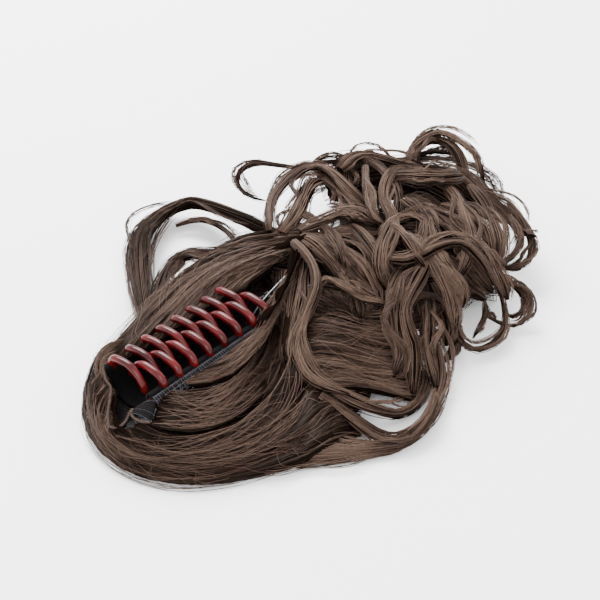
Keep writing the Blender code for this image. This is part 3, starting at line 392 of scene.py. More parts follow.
    ("knot", 0.87, 0.88, 0.36, ((1.231, 1.06, 0.52), (1.259, 1.01, 0.53), (1.294, 0.75, 0.55),
        (1.330, 0.48, 0.57))),
    ("gap_q", 0.80, 0.75, 0.58, ((1.335, -1.37, 0.43), (1.316, -1.46, 0.37), (1.293, -1.55, 0.30),
        (1.278, -1.63, 0.22), (1.265, -1.70, 0.15))),
    ("gap_r", 0.67, 0.75, 0.60, ((1.380, -1.44, 0.45), (1.361, -1.53, 0.38), (1.343, -1.61, 0.30),
        (1.322, -1.68, 0.22), (1.293, -1.71, 0.15))),
    ("loop_side", 0.80, 0.75, 0.44, ((0.44, 1.37, 0.23), (0.79, 1.63, 0.17), (1.040, 1.83, 0.13),
        (1.122, 1.96, 0.13), (1.192, 1.98, 0.18), (1.248, 1.92, 0.25))),
    ("gap_o", 0.93, 0.75, 0.52, ((1.178, -0.20, 0.58), (1.107, -0.70, 0.53), (1.030, -1.05, 0.48),
        (0.81, -1.16, 0.43), (0.57, -1.25, 0.35))),
    ("gap_p", 0.60, 0.75, 0.56, ((1.550, 1.31, 0.57), (1.523, 1.16, 0.58), (1.499, 1.02, 0.58),
        (1.466, 0.45, 0.57), (1.423, -0.10, 0.57))),
    ("gap_k", 0.87, 0.88, 0.48, ((1.103, -0.73, 0.42), (1.125, -1.05, 0.40), (1.144, -1.17, 0.37),
        (1.164, -1.28, 0.33), (1.204, -1.36, 0.30))),
    ("gap_l", 0.80, 0.88, 0.44, ((1.069, -1.00, 0.37), (1.080, -1.12, 0.35), (1.095, -1.23, 0.33),
        (1.116, -1.33, 0.28))),
    ("gap_m", 0.73, 0.88, 0.56, ((1.575, -1.33, 0.47), (1.553, -1.45, 0.40), (1.544, -1.56, 0.32),
        (1.540, -1.65, 0.23))),
    ("gap_n", 0.73, 0.88, 0.52, ((1.511, -1.34, 0.43), (1.490, -1.47, 0.37), (1.493, -1.57, 0.28),
        (1.511, -1.65, 0.20))),
    ("under_a", 1.13, 1.00, 0.42, ((0.06, -1.25, 0.13), (0.42, -1.13, 0.15), (0.80, -1.01, 0.18),
        (1.030, -0.59, 0.23), (1.095, -0.21, 0.30))),
    ("under_b", 1.00, 1.00, 0.46, ((0.27, -1.29, 0.12), (0.62, -1.16, 0.15), (0.94, -1.05, 0.20),
        (1.066, -0.73, 0.27), (1.137, -0.31, 0.35))),
    ("stern_c", 0.93, 1.12, 0.45, ((1.098, 1.02, 0.12), (1.157, 1.02, 0.13), (1.220, 1.01, 0.18),
        (1.276, 1.01, 0.25), (1.313, 0.91, 0.32))),
    ("stern_a", 0.87, 1.12, 0.50, ((1.038, -0.25, 0.37), (1.012, -0.75, 0.28), (0.89, -1.08, 0.20),
        (0.65, -1.26, 0.15), (0.40, -1.45, 0.15))),
    ("stern_b", 0.80, 1.00, 0.52, ((1.160, 0.25, 0.43), (1.100, -0.34, 0.33), (1.041, -0.99, 0.25),
        (0.92, -1.17, 0.20), (0.67, -1.38, 0.18))),
    ("gap_a", 0.60, 0.75, 0.65, ((1.282, 0.08, 0.60), (1.294, -0.45, 0.60), (1.291, -1.01, 0.57),
        (1.277, -1.14, 0.52), (1.258, -1.26, 0.45), (1.234, -1.38, 0.37))),
    ("gap_b", 0.53, 0.62, 0.60, ((1.397, -0.17, 0.60), (1.371, -0.87, 0.60), (1.333, -1.13, 0.58),
        (1.294, -1.26, 0.53), (1.248, -1.35, 0.45), (1.192, -1.43, 0.35))),
    ("gap_c", 0.53, 0.62, 0.71, ((1.328, -1.33, 0.63), (1.260, -1.39, 0.58), (1.200, -1.47, 0.52),
        (1.161, -1.56, 0.43), (1.121, -1.67, 0.33), (1.076, -1.70, 0.22))),
    ("gap_d", 0.47, 0.62, 0.60, ((1.242, -0.88, 0.58), (1.218, -1.11, 0.53), (1.185, -1.23, 0.47),
        (1.153, -1.32, 0.40))),
    ("gap_e", 0.53, 0.62, 0.66, ((1.741, -0.82, 0.58), (1.691, -1.13, 0.60), (1.634, -1.28, 0.60),
        (1.570, -1.42, 0.58), (1.498, -1.51, 0.53), (1.429, -1.55, 0.47))),
    ("gap_f", 0.47, 0.62, 0.68, ((1.571, -0.61, 0.67), (1.556, -1.03, 0.68), (1.511, -1.17, 0.70),
        (1.437, -1.29, 0.72), (1.370, -1.34, 0.70), (1.309, -1.36, 0.67))),
    ("gap_g", 0.47, 0.62, 0.61, ((1.814, -1.03, 0.52), (1.772, -1.21, 0.50), (1.716, -1.37, 0.48),
        (1.660, -1.50, 0.45), (1.603, -1.58, 0.38), (1.548, -1.60, 0.32))),
    ("gap_h", 0.53, 0.62, 0.64, ((1.695, 1.17, 0.57), (1.680, 1.02, 0.60), (1.639, 0.33, 0.62),
        (1.572, -0.40, 0.63), (1.484, -1.00, 0.65))),
    ("gap_i", 0.53, 0.62, 0.66, ((1.324, -1.53, 0.45), (1.261, -1.63, 0.40), (1.205, -1.71, 0.33),
        (1.172, -1.80, 0.23), (1.142, -1.89, 0.13))),
    ("gap_j", 0.47, 0.62, 0.62, ((1.357, 1.08, 0.58), (1.344, 0.67, 0.60), (1.313, -0.08, 0.62),
        (1.274, -0.75, 0.62), (1.229, -1.06, 0.58))),
)

# The tangled inside of the tail, under the curls, with the same columns.
MASSES = (
    ("mass_root", 2.93, 3.75, 0.42, ((1.196, 1.08, 0.30), (1.268, 0.60, 0.30), (1.352, -0.13, 0.32),
        (1.422, -0.84, 0.33))),
    ("mass_mid", 3.73, 4.25, 0.37, ((1.425, 0.46, 0.30), (1.499, -0.55, 0.33), (1.586, -1.10, 0.33),
        (1.665, -1.28, 0.28))),
    ("mass_back", 2.40, 3.50, 0.37, ((1.588, 1.26, 0.27), (1.714, 1.15, 0.30), (1.807, 0.75, 0.32),
        (1.866, -0.46, 0.27), (1.853, -1.18, 0.22))),
    ("mass_right", 2.67, 3.00, 0.37, ((1.439, -1.27, 0.27), (1.529, -1.39, 0.25), (1.647, -1.43, 0.22))),
    ("mass_front", 3.07, 3.00, 0.42, ((1.141, -0.48, 0.28), (1.143, -1.15, 0.27), (1.181, -1.38, 0.22),
        (1.260, -1.51, 0.17))),
    ("mass_low", 2.27, 1.75, 0.52, ((-0.35, -1.46, 0.13), (0.22, -1.49, 0.15), (0.78, -1.50, 0.17),
        (1.006, -1.66, 0.13))),
    ("under_net", 1.07, 1.25, 0.28, ((-1.54, -1.04, 0.12), (-0.96, -1.10, 0.15), (-0.46, -1.11, 0.17),
        (0.00, -1.11, 0.18), (0.46, -1.11, 0.20), (0.92, -1.13, 0.23), (1.065, -1.13, 0.25))),
    ("stern_mass", 1.60, 1.12, 0.28, ((1.023, 0.15, 0.08), (1.071, 0.05, 0.12), (1.129, -0.10, 0.15),
        (1.202, -0.40, 0.20))),
)


class ClawSettings(bpy.types.PropertyGroup):
    tooth_diameter: FloatProperty(
        name="Tooth diameter", description="Thickness of a claw tooth", default=0.0042, unit="LENGTH")
    tip_diameter: FloatProperty(
        name="Tip diameter", description="Thickness of a tooth near its tip", default=0.0035, unit="LENGTH")
    wall: FloatProperty(
        name="Jaw wall", description="Wall of the curved jaw", default=JAW_WALL, unit="LENGTH")
    deep: FloatVectorProperty(
        name="Deep red", description="Plastic where it is thick", subtype="COLOR",
        default=(0.020, 0.0010, 0.0012))
    bright: FloatVectorProperty(
        name="Bright red", description="Plastic where light comes through", subtype="COLOR",
        default=(0.072, 0.0036, 0.0040))
    steel: FloatVectorProperty(
        name="Steel", description="Hinge wire", subtype="COLOR", default=(0.10, 0.105, 0.11))


class NetSettings(bpy.types.PropertyGroup):
    cell: FloatProperty(
        name="Mesh cell", description="Distance between the net's threads", default=0.00105, unit="LENGTH")
    thread: FloatProperty(
        name="Thread", description="Thickness of the net's threads", default=0.00036, unit="LENGTH")
    black: FloatVectorProperty(
        name="Net black", description="Colour of the threads", subtype="COLOR",
        default=(0.010, 0.010, 0.012))
    hem: FloatVectorProperty(
        name="Hem", description="Colour of the sewn edge", subtype="COLOR", default=(0.040, 0.026, 0.020))


class HairSettings(bpy.types.PropertyGroup):
    strand: FloatProperty(
        name="Strand", description="Thickness of a strand", default=0.00034, unit="LENGTH")
    gap: FloatProperty(
        name="Strand spacing", description="Room each strand has on a lock", default=0.00030, unit="LENGTH")
    step: FloatProperty(
        name="Step", description="Length of one piece of a strand", default=0.0054, unit="LENGTH")
    dark: FloatVectorProperty(
        name="Dark", description="Darkest strands", subtype="COLOR", default=(0.0040, 0.0022, 0.0016))
    middle: FloatVectorProperty(
        name="Middle", description="Most strands", subtype="COLOR", default=(0.0185, 0.0108, 0.0080))
    light: FloatVectorProperty(
        name="Light", description="Lightest strands", subtype="COLOR", default=(0.088, 0.057, 0.043))
    loose: FloatProperty(
        name="Loose hairs", description="Share of the usual number of single hairs", default=1.0,
        min=0, max=4)


class StageSettings(bpy.types.PropertyGroup):
    azimuth: FloatProperty(
        name="Azimuth", description="Camera direction round the piece", default=math.radians(-48.2),
        subtype="ANGLE")
    elevation: FloatProperty(
        name="Elevation", description="Camera height over the surface", default=math.radians(37.5),
        subtype="ANGLE")
    distance: FloatProperty(
        name="Distance", description="Camera to the middle of the piece", default=0.90, unit="LENGTH")
    lens: FloatProperty(name="Lens", description="Focal length in millimetres", default=100.1)
    floor: FloatVectorProperty(
        name="Surface", description="Colour of the surface", subtype="COLOR", default=(0.97, 0.97, 0.97))


def claw():
    return bpy.context.scene.hairpiece_claw


def net():
    return bpy.context.scene.hairpiece_net


def hair():
    return bpy.context.scene.hairpiece_hair


def stage():
    return bpy.context.scene.hairpiece_stage


# Plain geometry

def seeded(name):
    """The same choices each run for the piece of that name."""
    return np.random.default_rng(sum(ord(letter) * (7 + i) for i, letter in enumerate(name)))


def even_row(points, count):
    """The line through the points, cut into equal lengths."""
    points = np.array(points)
    run = np.concatenate(([0], np.cumsum(np.linalg.norm(np.diff(points, axis=0), axis=1))))
    at = np.linspace(0, run[-1], count)
    return np.column_stack([np.interp(at, run, points[:, axis]) for axis in range(3)])


def with_ends(points):
    """The points with one more at either end, straight on."""
    return np.vstack((2 * points[:1] - points[1:2], points, 2 * points[-1:] - points[-2:-1]))


def between_knots(a, b, c, d, t):
    """A smooth curve from b to c, where t goes from 0 to 1."""
    return 0.5 * (2 * b + (c - a) * t + (2 * a - 5 * b + 4 * c - d) * t ** 2
                  + (3 * b - a - 3 * c + d) * t ** 3)


def smooth_line(points, count):
    """A smooth line through the points, cut into equal lengths."""
    points = np.asarray(points, float)
    knots = with_ends(points)
    t = np.linspace(0, 1, 12, endpoint=False)[:, None]
    fine = [between_knots(a, b, c, d, t) for a, b, c, d in zip(knots, knots[1:], knots[2:], knots[3:])]
    return even_row(np.vstack(fine + [points[-1:]]), count)


def line_length(points):
    return float(np.linalg.norm(np.diff(points, axis=0), axis=1).sum())


def unit(vectors):
    return vectors / np.maximum(np.linalg.norm(vectors, axis=-1, keepdims=True), 1e-9)


def hair_points(route):
    """A route of the tables as points in metres."""
    along, across, up = np.array(route, float).T
    x = (CLAW_HALF * np.clip(along, -1, 1) + TAIL_LENGTH * np.maximum(along - 1, 0)
         + LIP_LENGTH * np.minimum(along + 1, 0))
    y = (SPREAD_START * np.clip(across, -1, 1)
         + np.sign(across) * SPREAD_WIDTH * np.maximum(np.abs(across) - 1, 0))
    return np.column_stack((x, y, SPREAD_HEIGHT * up))


def lock_axes(line, lean):
    """Width and height directions along a line: level, then turned by lean."""
    run = unit(np.gradient(line, axis=0))
    side = np.cross((0.0, 0.0, 1.0), run)
    for i in range(1, len(side)):
        if np.linalg.norm(side[i]) < 0.25:
            side[i] = side[i - 1]
        if side[i] @ side[i - 1] < 0:
            side[i] = -side[i]
    for _ in range(3):
        side[1:-1] = (side[:-2] + 2 * side[1:-1] + side[2:]) / 4
    side = unit(side - run * (side * run).sum(1, keepdims=True))
    top = np.cross(run, side)
    flip = 1.0 if top[:, 2].mean() >= 0 else -1.0
    side, top = side * flip, top * flip
    cos, sin = np.cos(lean)[:, None], np.sin(lean)[:, None]
    return side * cos + top * sin, top * cos - side * sin


def deselect():
    if bpy.context.object and bpy.context.object.mode != "OBJECT":
        bpy.ops.object.mode_set(mode="OBJECT")
    bpy.ops.object.select_all(action="DESELECT")


def pick(*items):
    deselect()
    for item in items:
        item.select_set(True)
    bpy.context.view_layer.objects.active = items[0]


def apply_modifiers(item):
    pick(item)
    for modifier in list(item.modifiers):
        bpy.ops.object.modifier_apply(modifier=modifier.name)


def settle(item):
    """Puts the object's place into its mesh, so that it sits at the origin."""
    pick(item)
    bpy.ops.object.transform_apply(location=True, rotation=True, scale=True)


def face_outwards(item, merge=0.0):
    """Turns all faces outwards, after joining points that are closer than merge."""
    pick(item)
    bpy.ops.object.mode_set(mode="EDIT")
    bpy.ops.mesh.select_all(action="SELECT")
    if merge:
        bpy.ops.mesh.remove_doubles(threshold=merge)
    bpy.ops.mesh.normals_make_consistent(inside=False)
    bpy.ops.object.mode_set(mode="OBJECT")


def rod(name, points, diameters, resolution=4):
    """A rounded rod through the points, made as a bevelled curve and turned into a mesh."""
    deselect()
    bpy.ops.curve.primitive_bezier_curve_add()
    item = bpy.context.object
    item.name = name
    curve = item.data
    curve.splines.clear()
    spline = curve.splines.new("POLY")
    spline.points.add(len(points) - 1)
    widest = max(diameters)
    for place, point, diameter in zip(spline.points, points, diameters):
        place.co = (*point, 1.0)
        place.radius = diameter / widest
    curve.dimensions = "3D"
    curve.bevel_depth = widest / 2
    curve.bevel_resolution = resolution
    curve.use_fill_caps = True
    bpy.ops.object.convert(target="MESH")
    item = bpy.context.object
    face_outwards(item, 0.00001)
    bpy.ops.object.shade_smooth_by_angle(angle=math.radians(50))
    return item


def quads_object(name, points, faces, tones):
    """One mesh from arrays of points and four-sided faces, three-sided where the last two agree."""
    mesh = bpy.data.meshes.new(name)
    sizes = np.where(faces[:, 2] == faces[:, 3], 3, 4)
    keep = np.ones(faces.shape, bool)
    keep[:, 3] = sizes == 4
    starts = np.concatenate(([0], np.cumsum(sizes)[:-1]))
    mesh.vertices.add(len(points))
    mesh.vertices.foreach_set("co", points.astype(np.float32).ravel())
    mesh.loops.add(int(sizes.sum()))
    mesh.loops.foreach_set("vertex_index", faces[keep].astype(np.int32))
    mesh.polygons.add(len(faces))
    mesh.polygons.foreach_set("loop_start", starts.astype(np.int32))
    mesh.polygons.foreach_set("use_smooth", np.ones(len(faces), bool))
    mesh.update(calc_edges=True)
    mesh.attributes.new("tone", "FLOAT", "POINT").data.foreach_set("value", tones.astype(np.float32))
    item = bpy.data.objects.new(name, mesh)
    bpy.context.scene.collection.objects.link(item)
    return item


def tube_faces(count, steps, sides):
    """The faces of closed tubes, each with as many rings of points as it has steps."""
    base = np.arange(count)[:, None, None] * steps * sides
    row = np.arange(steps - 1)[None, :, None] * sides
    k = np.arange(sides)[None, None]
    j = (k + 1) % sides
    wall = np.stack((base + row + k, base + row + j, base + row + sides + j, base + row + sides + k), -1)
    faces = [wall.reshape(-1, 4)]
    first = np.arange(count) * steps * sides
    last = first + (steps - 1) * sides
    for i in range(1, sides - 1):
        faces.append(np.stack((first, first + i + 1, first + i, first + i), -1))
        faces.append(np.stack((last, last + i, last + i + 1, last + i + 1), -1))
    return np.vstack(faces)


def tube_arrays(lines, radii, sides=3):
    """Closed thin tubes: lines (n, m, 3) and radii (n, m) give points and faces."""
    count, steps, _ = lines.shape
    run = unit(np.gradient(lines, axis=1))
    across = np.cross(run[:, 0], (0.31, 0.17, 0.93))
    frames = np.empty_like(lines)
    for i in range(steps):
        across = unit(across - run[:, i] * (across * run[:, i]).sum(1, keepdims=True))
        frames[:, i] = across
    other = np.cross(run, frames)
    turn = 2 * np.pi * np.arange(sides) / sides
    ring = frames[:, :, None] * np.cos(turn)[:, None] + other[:, :, None] * np.sin(turn)[:, None]
    points = (lines[:, :, None] + ring * radii[:, :, None, None]).reshape(-1, 3)
    return points, tube_faces(count, steps, sides)


class Bundle:
    """Tubes and bodies gathered for one piece, and split over more where they grow too many."""

    def __init__(self):
        self.parts = []

    def add(self, lines, radii, tones, sides=3):
        lines[:, :, 2] = np.maximum(lines[:, :, 2], radii + FLOOR_GAP)
        points, faces = tube_arrays(lines, radii, sides)
        self.keep(points, faces, np.repeat(tones.ravel(), sides))

    def keep(self, points, faces, tones):
        self.parts.append((points, faces, tones, 2 * len(faces)))

    def make(self, name, material):
        """The gathered parts as objects, each with no more than PIECE_TRIANGLES."""
        made, batch, size = [], [], 0
        for part in self.parts + [None]:
            if batch and (part is None or size + part[3] > PIECE_TRIANGLES):
                shift, points, faces, tones = 0, [], [], []
                for p, f, t, _ in batch:
                    points.append(p)
                    faces.append(f + shift)
                    tones.append(t)
                    shift += len(p)
                label = name if not made and part is None else f"{name}_{len(made) + 1}"
                item = quads_object(label, np.vstack(points), np.vstack(faces), np.concatenate(tones))
                item.data.materials.append(material)
                made.append(item)
                batch, size = [], 0
            if part is not None:
                batch.append(part)
                size += part[3]
        return made


# Hair

def wave(rng, count, t, low, high):
    """Slow waves along t, one row for each strand or clump."""
    phase = rng.uniform(0, 2 * np.pi, (count, 1))
    turns = rng.uniform(low, high, (count, 1))
    return np.sin(phase + 2 * np.pi * turns * t)


def cut_rows(values, place):
    """The values at places between their rows."""
    low = np.clip(place.astype(int), 0, len(values) - 2)
    mix = (place - low)[..., None]
    return values[low] * (1 - mix) + values[low + 1] * mix


def cut_grid(values, across, along):
    """The values of a grid at places between its rows and columns."""
    i = np.clip(across.astype(int), 0, values.shape[0] - 2)
    k = np.clip(along.astype(int), 0, values.shape[1] - 2)
    p, q = (across - i)[..., None], (along - k)[..., None]
    near = values[i, k] * (1 - q) + values[i, k + 1] * q
    far = values[i + 1, k] * (1 - q) + values[i + 1, k + 1] * q
    return near * (1 - p) + far * p


def strand_tones(rng, tone, count, clump, clumps, t):
    """Each strand's tone along it: its own, its clump's, and now and then a light one."""
    shade = (tone + STRAND_TONES * rng.normal(size=(count, 1))
             + CLUMP_TONES * rng.normal(size=clumps)[clump][:, None])
    shade = (shade + PALE_TONE * (rng.random((count, 1)) < PALE_STRANDS) + 0.08 * (t - 0.5)
             + 0.06 * wave(rng, count, t, 0.5, 1.5))
    return np.clip(shade, 0, 1)


def strand_radii(rng, count, t, ends):
    """Each strand's radius along it, thinner towards its end."""
    size = hair().strand / 2 * rng.uniform(*STRAND_SIZES, (count, 1))
    return size * np.clip(STRAND_TIP + (ends - t) * 7.0, STRAND_TIP, 1.0)


def lock_strands(bundle, name, route, width, depth, tone, twist=None, loose=1.0, open_end=False,
                 even=0.3, top_share=0.80):
    """Strands round one lock, gathered in clumps that part a little towards the end.

    twist is in degrees from one end to the other, loose thins the strands out, even is the share of
    them that lie evenly round the lock, and top_share is the share that lie on its upper side.
    """
    rng = seeded(name)
    points = hair_points(route)
    length = line_length(points)
    steps = max(8, int(length / hair().step))
    line = smooth_line(points, 4 * steps)
    twist = math.radians(rng.uniform(-70, 70) if twist is None else twist)
    side, top = lock_axes(line, twist * np.linspace(0, 1, len(line)))
    a, b = LOCK_FILL * LOCK_WIDTH * width, LOCK_FILL * LOCK_THICKNESS * depth
    round_it = math.pi * (3 * (a + b) - math.sqrt((3 * a + b) * (a + 3 * b)))
    count = max(10, int(LOCK_COUNT * round_it / hair().gap / loose))
    clumps = max(2, round(2 * a / LOCK_CLUMP))
    t = np.linspace(0, 1, steps)[None]
    ends = 1 - 0.16 * rng.random((count, 1)) ** 1.5
    at = t * ends
    u = np.where(rng.random(count) < even, np.cos(np.pi * rng.random(count)), rng.uniform(-1, 1, count))
    clump = np.clip(((u + 1) / 2 * clumps).astype(int), 0, clumps - 1)
    centre = (2 * clump + 1) / clumps - 1
    up = np.where(rng.random(count) < top_share, 1.0, -1.0)
    fall = 1 - 0.10 * (np.abs(u - centre) * clumps) ** 2
    stray = rng.choice(STRAY_KINDS, count, p=STRAY_SHARES)[:, None]
    stray = 1 + stray * wave(rng, count, t, 0.3, 1.0)
    drift = 0.08 * wave(rng, clumps, t, 0.4, 1.2)[clump]
    across = u[:, None] * stray + drift + 0.07 * wave(rng, count, t, 0.5, 1.6)
    across = np.clip(across + (centre[:, None] - across) * 0.45 * at ** 3, -MOST_ACROSS, MOST_ACROSS)
    lift = np.sqrt(np.maximum(1 - u ** 2, 0.02)) * fall * up * rng.uniform(0.90, 1.08, clumps)[clump]
    lift = lift[:, None] * (1 + 0.08 * wave(rng, clumps, t, 0.5, 1.5)[clump])
    lift = np.clip(lift * rng.uniform(0.80, 1.0, (count, 1)) * stray, -MOST_LIFT, MOST_LIFT)
    breathe = 1 + 0.18 * wave(rng, 1, at, 1.2, 2.4)
    end_size, end_growth = (0.15, 2.2) if open_end else (0.50, 4)
    grow = breathe * np.clip(0.70 + at * 4, 0, 1) * np.clip(end_size + (1 - at) * end_growth, 0, 1)
    place = at * (len(line) - 1)
    lines = (cut_rows(line, place) + cut_rows(side, place) * (a * grow * across)[..., None]
             + cut_rows(top, place) * (b * grow * lift)[..., None])
    frizz = rng.normal(size=(count, 1, 3)) * FRIZZ * at[..., None] ** 2
    # Painted highlight and shade: strands on the lock's top side are made lighter, those on its sides and
    # underside darker, and slow bands along the lock lighter as a painted sheen.
    crown = (np.sqrt(1 - np.minimum(u ** 2, 1)) * up)[:, None]
    painted_sheen_and_shade = 0.13 * wave(rng, 1, at, 1.0, 2.2) + 0.24 * (crown - 0.45)
    bundle.add(lines + frizz, strand_radii(rng, count, t, ends),
               np.clip(strand_tones(rng, tone, count, clump, clumps, t) + painted_sheen_and_shade, 0, 1))


def wisps(bundle, name, route, width, depth, tone):
    """Thin ribbons that leave a lock, run beside or over it, and end loose."""
    rng = seeded(name + " wisps")
    line = smooth_line(hair_points(route), 120)
    side, top = lock_axes(line, np.zeros(len(line)))
    length = line_length(line)
    for _ in range(LOCK_WISPS):
        start = rng.uniform(0.0, 0.5)
        end = min(1.0, start + rng.uniform(0.35, 0.65))
        steps = max(8, int(length * (end - start) / hair().step))
        count = int(rng.integers(12, 26))
        t = np.linspace(0, 1, steps)[None]
        part = 1 - 0.22 * rng.random((count, 1)) ** 1.5
        at = t * part
        place = (start + at * (end - start)) * (len(line) - 1)
        away = rng.choice((-1.0, 1.0)) * rng.uniform(0.8, 1.5) * 0.5 * LOCK_WIDTH * width
        rise = rng.uniform(0.15, 1.0) * 0.5 * LOCK_THICKNESS * depth + 0.0012
        bow = np.sin(np.pi * np.clip(at * rng.uniform(0.7, 1.0), 0, 1)) ** 0.8
        swing = 1 + 0.35 * wave(rng, 1, at, 0.6, 1.4)
        u = rng.uniform(-1, 1, (count, 1))
        half = rng.uniform(0.0009, 0.0018)
        sideways = away * bow * swing + half * u * (0.6 + 0.8 * at) + 0.0004 * wave(rng, count, t, 0.5, 1.5)
        upward = (rise * (0.4 + 0.6 * bow) + 0.0006 * rng.random((count, 1))
                  + 0.0003 * wave(rng, count, t, 0.5, 1.5))
        lines = (cut_rows(line, place) + cut_rows(side, place) * sideways[..., None]
                 + cut_rows(top, place) * upward[..., None])
        shade = strand_tones(rng, tone + 0.10, count, np.zeros(count, int), 1, t)
        bundle.add(lines, strand_radii(rng, count, t, part), shade)


def flyaways(bundle, name, rails, number, lift=0.0022):
    """Single pale hairs that cross a sheet of hair in long arcs."""
    rng = seeded(name + " loose")
    grid = sheet_grid(rails, 60)
    up = sheet_normals(grid)
    rows, fine = grid.shape[:2]
    steps = 18
    t = np.linspace(0, 1, steps)[None]
    start = rng.uniform(0.0, 0.45, (number, 1))
    end = np.minimum(start + rng.uniform(0.3, 0.6, (number, 1)), 1.0)
    first = rng.random((number, 1))
    last = np.clip(first + rng.normal(size=(number, 1)) * 0.30, 0.0, 1.0)
    bend = rng.normal(size=(number, 1)) * 0.14
    across = np.clip(first + (last - first) * t + bend * np.sin(np.pi * t), 0, 1) * (rows - 1)
    along = (start + (end - start) * t) * (fine - 1)
    height = lift * np.sin(np.pi * t) * rng.uniform(0.3, 1.5, (number, 1)) + 0.0006
    lines = cut_grid(grid, across, along) + cut_grid(up, across, along) * height[..., None]
    radii = np.broadcast_to(hair().strand * rng.uniform(0.20, 0.34, (number, 1)), (number, steps)).copy()
    tones = np.broadcast_to(rng.uniform(0.75, 1.0, (number, 1)), (number, steps)).copy()
    bundle.add(lines, radii, tones)


def lock_core(bundle, route, width, depth, tone, share=CORE_SHARE):
    """The closed body inside a lock, which stops light between its strands; its dark colour is painted shade.
    """
    points = hair_points(route)
    line = smooth_line(points, max(8, int(line_length(points) / CORE_STEP)))
    side, top = lock_axes(line, np.zeros(len(line)))
    a, b = 0.5 * LOCK_WIDTH * width * share, 0.5 * LOCK_THICKNESS * depth * share
    t = np.linspace(0, 1, len(line))
    grow = np.clip(0.3 + 6 * t, 0, 1) * np.clip(0.3 + 6 * (1 - t), 0, 1)
    add_body(bundle, line, side, top, a * grow, b * grow, tone)


def add_body(bundle, line, side, top, a, b, tone, sides=10):
    """One closed oval body along a line, a wide and b high on either side of it."""
    turn = 2 * np.pi * np.arange(sides) / sides
    points = (line[:, None] + side[:, None] * (a[:, None] * np.cos(turn))[..., None]
              + top[:, None] * (b[:, None] * np.sin(turn))[..., None]).reshape(-1, 3)
    points[:, 2] = np.maximum(points[:, 2], 0.0003)
    bundle.keep(points, tube_faces(1, len(line), sides), np.full(len(points), tone))


def sheet_grid(rails, steps, between=8):
    """Rails side by side, filled in between: points (rows, steps, 3)."""
    lines = np.array([smooth_line(hair_points(rail), steps) for rail in rails])
    rows = (len(rails) - 1) * between + 1
    return np.stack([cross_line(lines[:, i], rows) for i in range(steps)], 1)


def cross_line(points, rows):
    """Through the points with the same number of rows for each gap."""
    knots = with_ends(points)
    at = np.linspace(0, len(points) - 1, rows)
    low = np.clip(at.astype(int), 0, len(points) - 2)
    t = (at - low)[:, None]
    return between_knots(knots[low], knots[low + 1], knots[low + 2], knots[low + 3], t)


def sheet_normals(grid):
    """The upward side of a grid at each of its points."""
    run = np.gradient(grid, axis=1)
    across = np.gradient(grid, axis=0)
    up = unit(np.cross(run, across))
    return up * np.where(up[..., 2].mean() < 0, -1.0, 1.0)


def sheet_strands(bundle, name, rails, count, tone, depth=0.0017, relief=0.00065, wander=0.30):
    """Strands that flow between the rails, in clumps with furrows between them.

    The strands lie up to depth under the sheet, relief is the height of a clump, and wander is how far
    a clump strays, in widths of its own.
    """
    rng = seeded(name)
    length = np.mean([line_length(hair_points(rail)) for rail in rails])
    steps = max(8, int(length / (2.05 * hair().step)))
    grid = sheet_grid(rails, 5 * steps)
    up = sheet_normals(grid)
    rows, fine = grid.shape[:2]
    reach = np.linalg.norm(np.diff(grid[:, fine // 2], axis=0), axis=1).sum()
    clumps = max(3, int(reach / SHEET_CLUMP))
    t = np.linspace(0, 1, steps)[None]
    v = rng.random(count)
    clump = np.clip((v * clumps).astype(int), 0, clumps - 1)
    centre = (clump + 0.5) / clumps
    begin = 0.03 * rng.random((count, 1)) ** 2
    ends = 1 - 0.10 * rng.random((count, 1)) ** 1.5
    at = begin + t * (ends - begin)
    step = 1.0 / clumps
    across = (centre[:, None] + (v - centre)[:, None] * (1 - 0.35 * at ** 2)
              + wander * step * wave(rng, clumps, t, 0.4, 1.1)[clump]
              + 0.30 * step * wave(rng, count, t, 0.4, 1.3))
    across = np.clip(across, 0.002, 0.998)
    lift = (-relief * (2 * np.abs(v - centre) / step)[:, None] ** 2 * 0.8
            + relief * wave(rng, clumps, t, 0.5, 1.6)[clump]
            + relief * 0.6 * rng.normal(size=clumps)[clump][:, None]
            - depth * rng.random((count, 1)) ** 2)
    row, column = across * (rows - 1), at * (fine - 1)
    lines = cut_grid(grid, row, column) + cut_grid(up, row, column) * lift[..., None]
    # Painted highlight and shade: strands in the middle of a clump are made lighter and those in the furrows
    # between clumps darker, with slow lighter bands along the sheet as a painted sheen.
    painted_clump_light_and_furrow_shade = 0.30 * (0.33 - (2 * np.abs(v - centre) / step)[:, None] ** 2)
    painted_sheen_and_shade = painted_clump_light_and_furrow_shade + 0.09 * wave(rng, 1, at, 0.8, 1.6)
    bundle.add(lines, strand_radii(rng, count, t, ends),
               np.clip(strand_tones(rng, tone, count, clump, clumps, t) + painted_sheen_and_shade, 0, 1))


def sheet_core(bundle, rails, tone, sink=0.0034, thick=0.0044):
    """Closed bands under a sheet of strands, dark as painted shade."""
    grid = sheet_grid(rails, 26, 2)
    up = sheet_normals(grid)
    across = np.gradient(grid, axis=0)
    for row in range(1, len(grid) - 1):
        reach = np.linalg.norm(across[row], axis=1)
        line = grid[row] - up[row] * sink
        t = np.linspace(0, 1, len(line))
        grow = np.clip(0.4 + 8 * t, 0, 1) * np.clip(0.4 + 8 * (1 - t), 0, 1)
        add_body(bundle, line, unit(across[row]), up[row], reach * 0.95 * grow,
                 np.full(len(line), thick / 2) * grow, tone)


# Looks

def new_material(name):
    material = bpy.data.materials.new(name)
    material.use_nodes = True
    return material, material.node_tree, material.node_tree.nodes["Principled BSDF"]


def set_inputs(node, **values):
    """Sets inputs of a node by their labels, each with _ for a space."""
    for label, value in values.items():
        node.inputs[label.replace("_", " ")].default_value = value


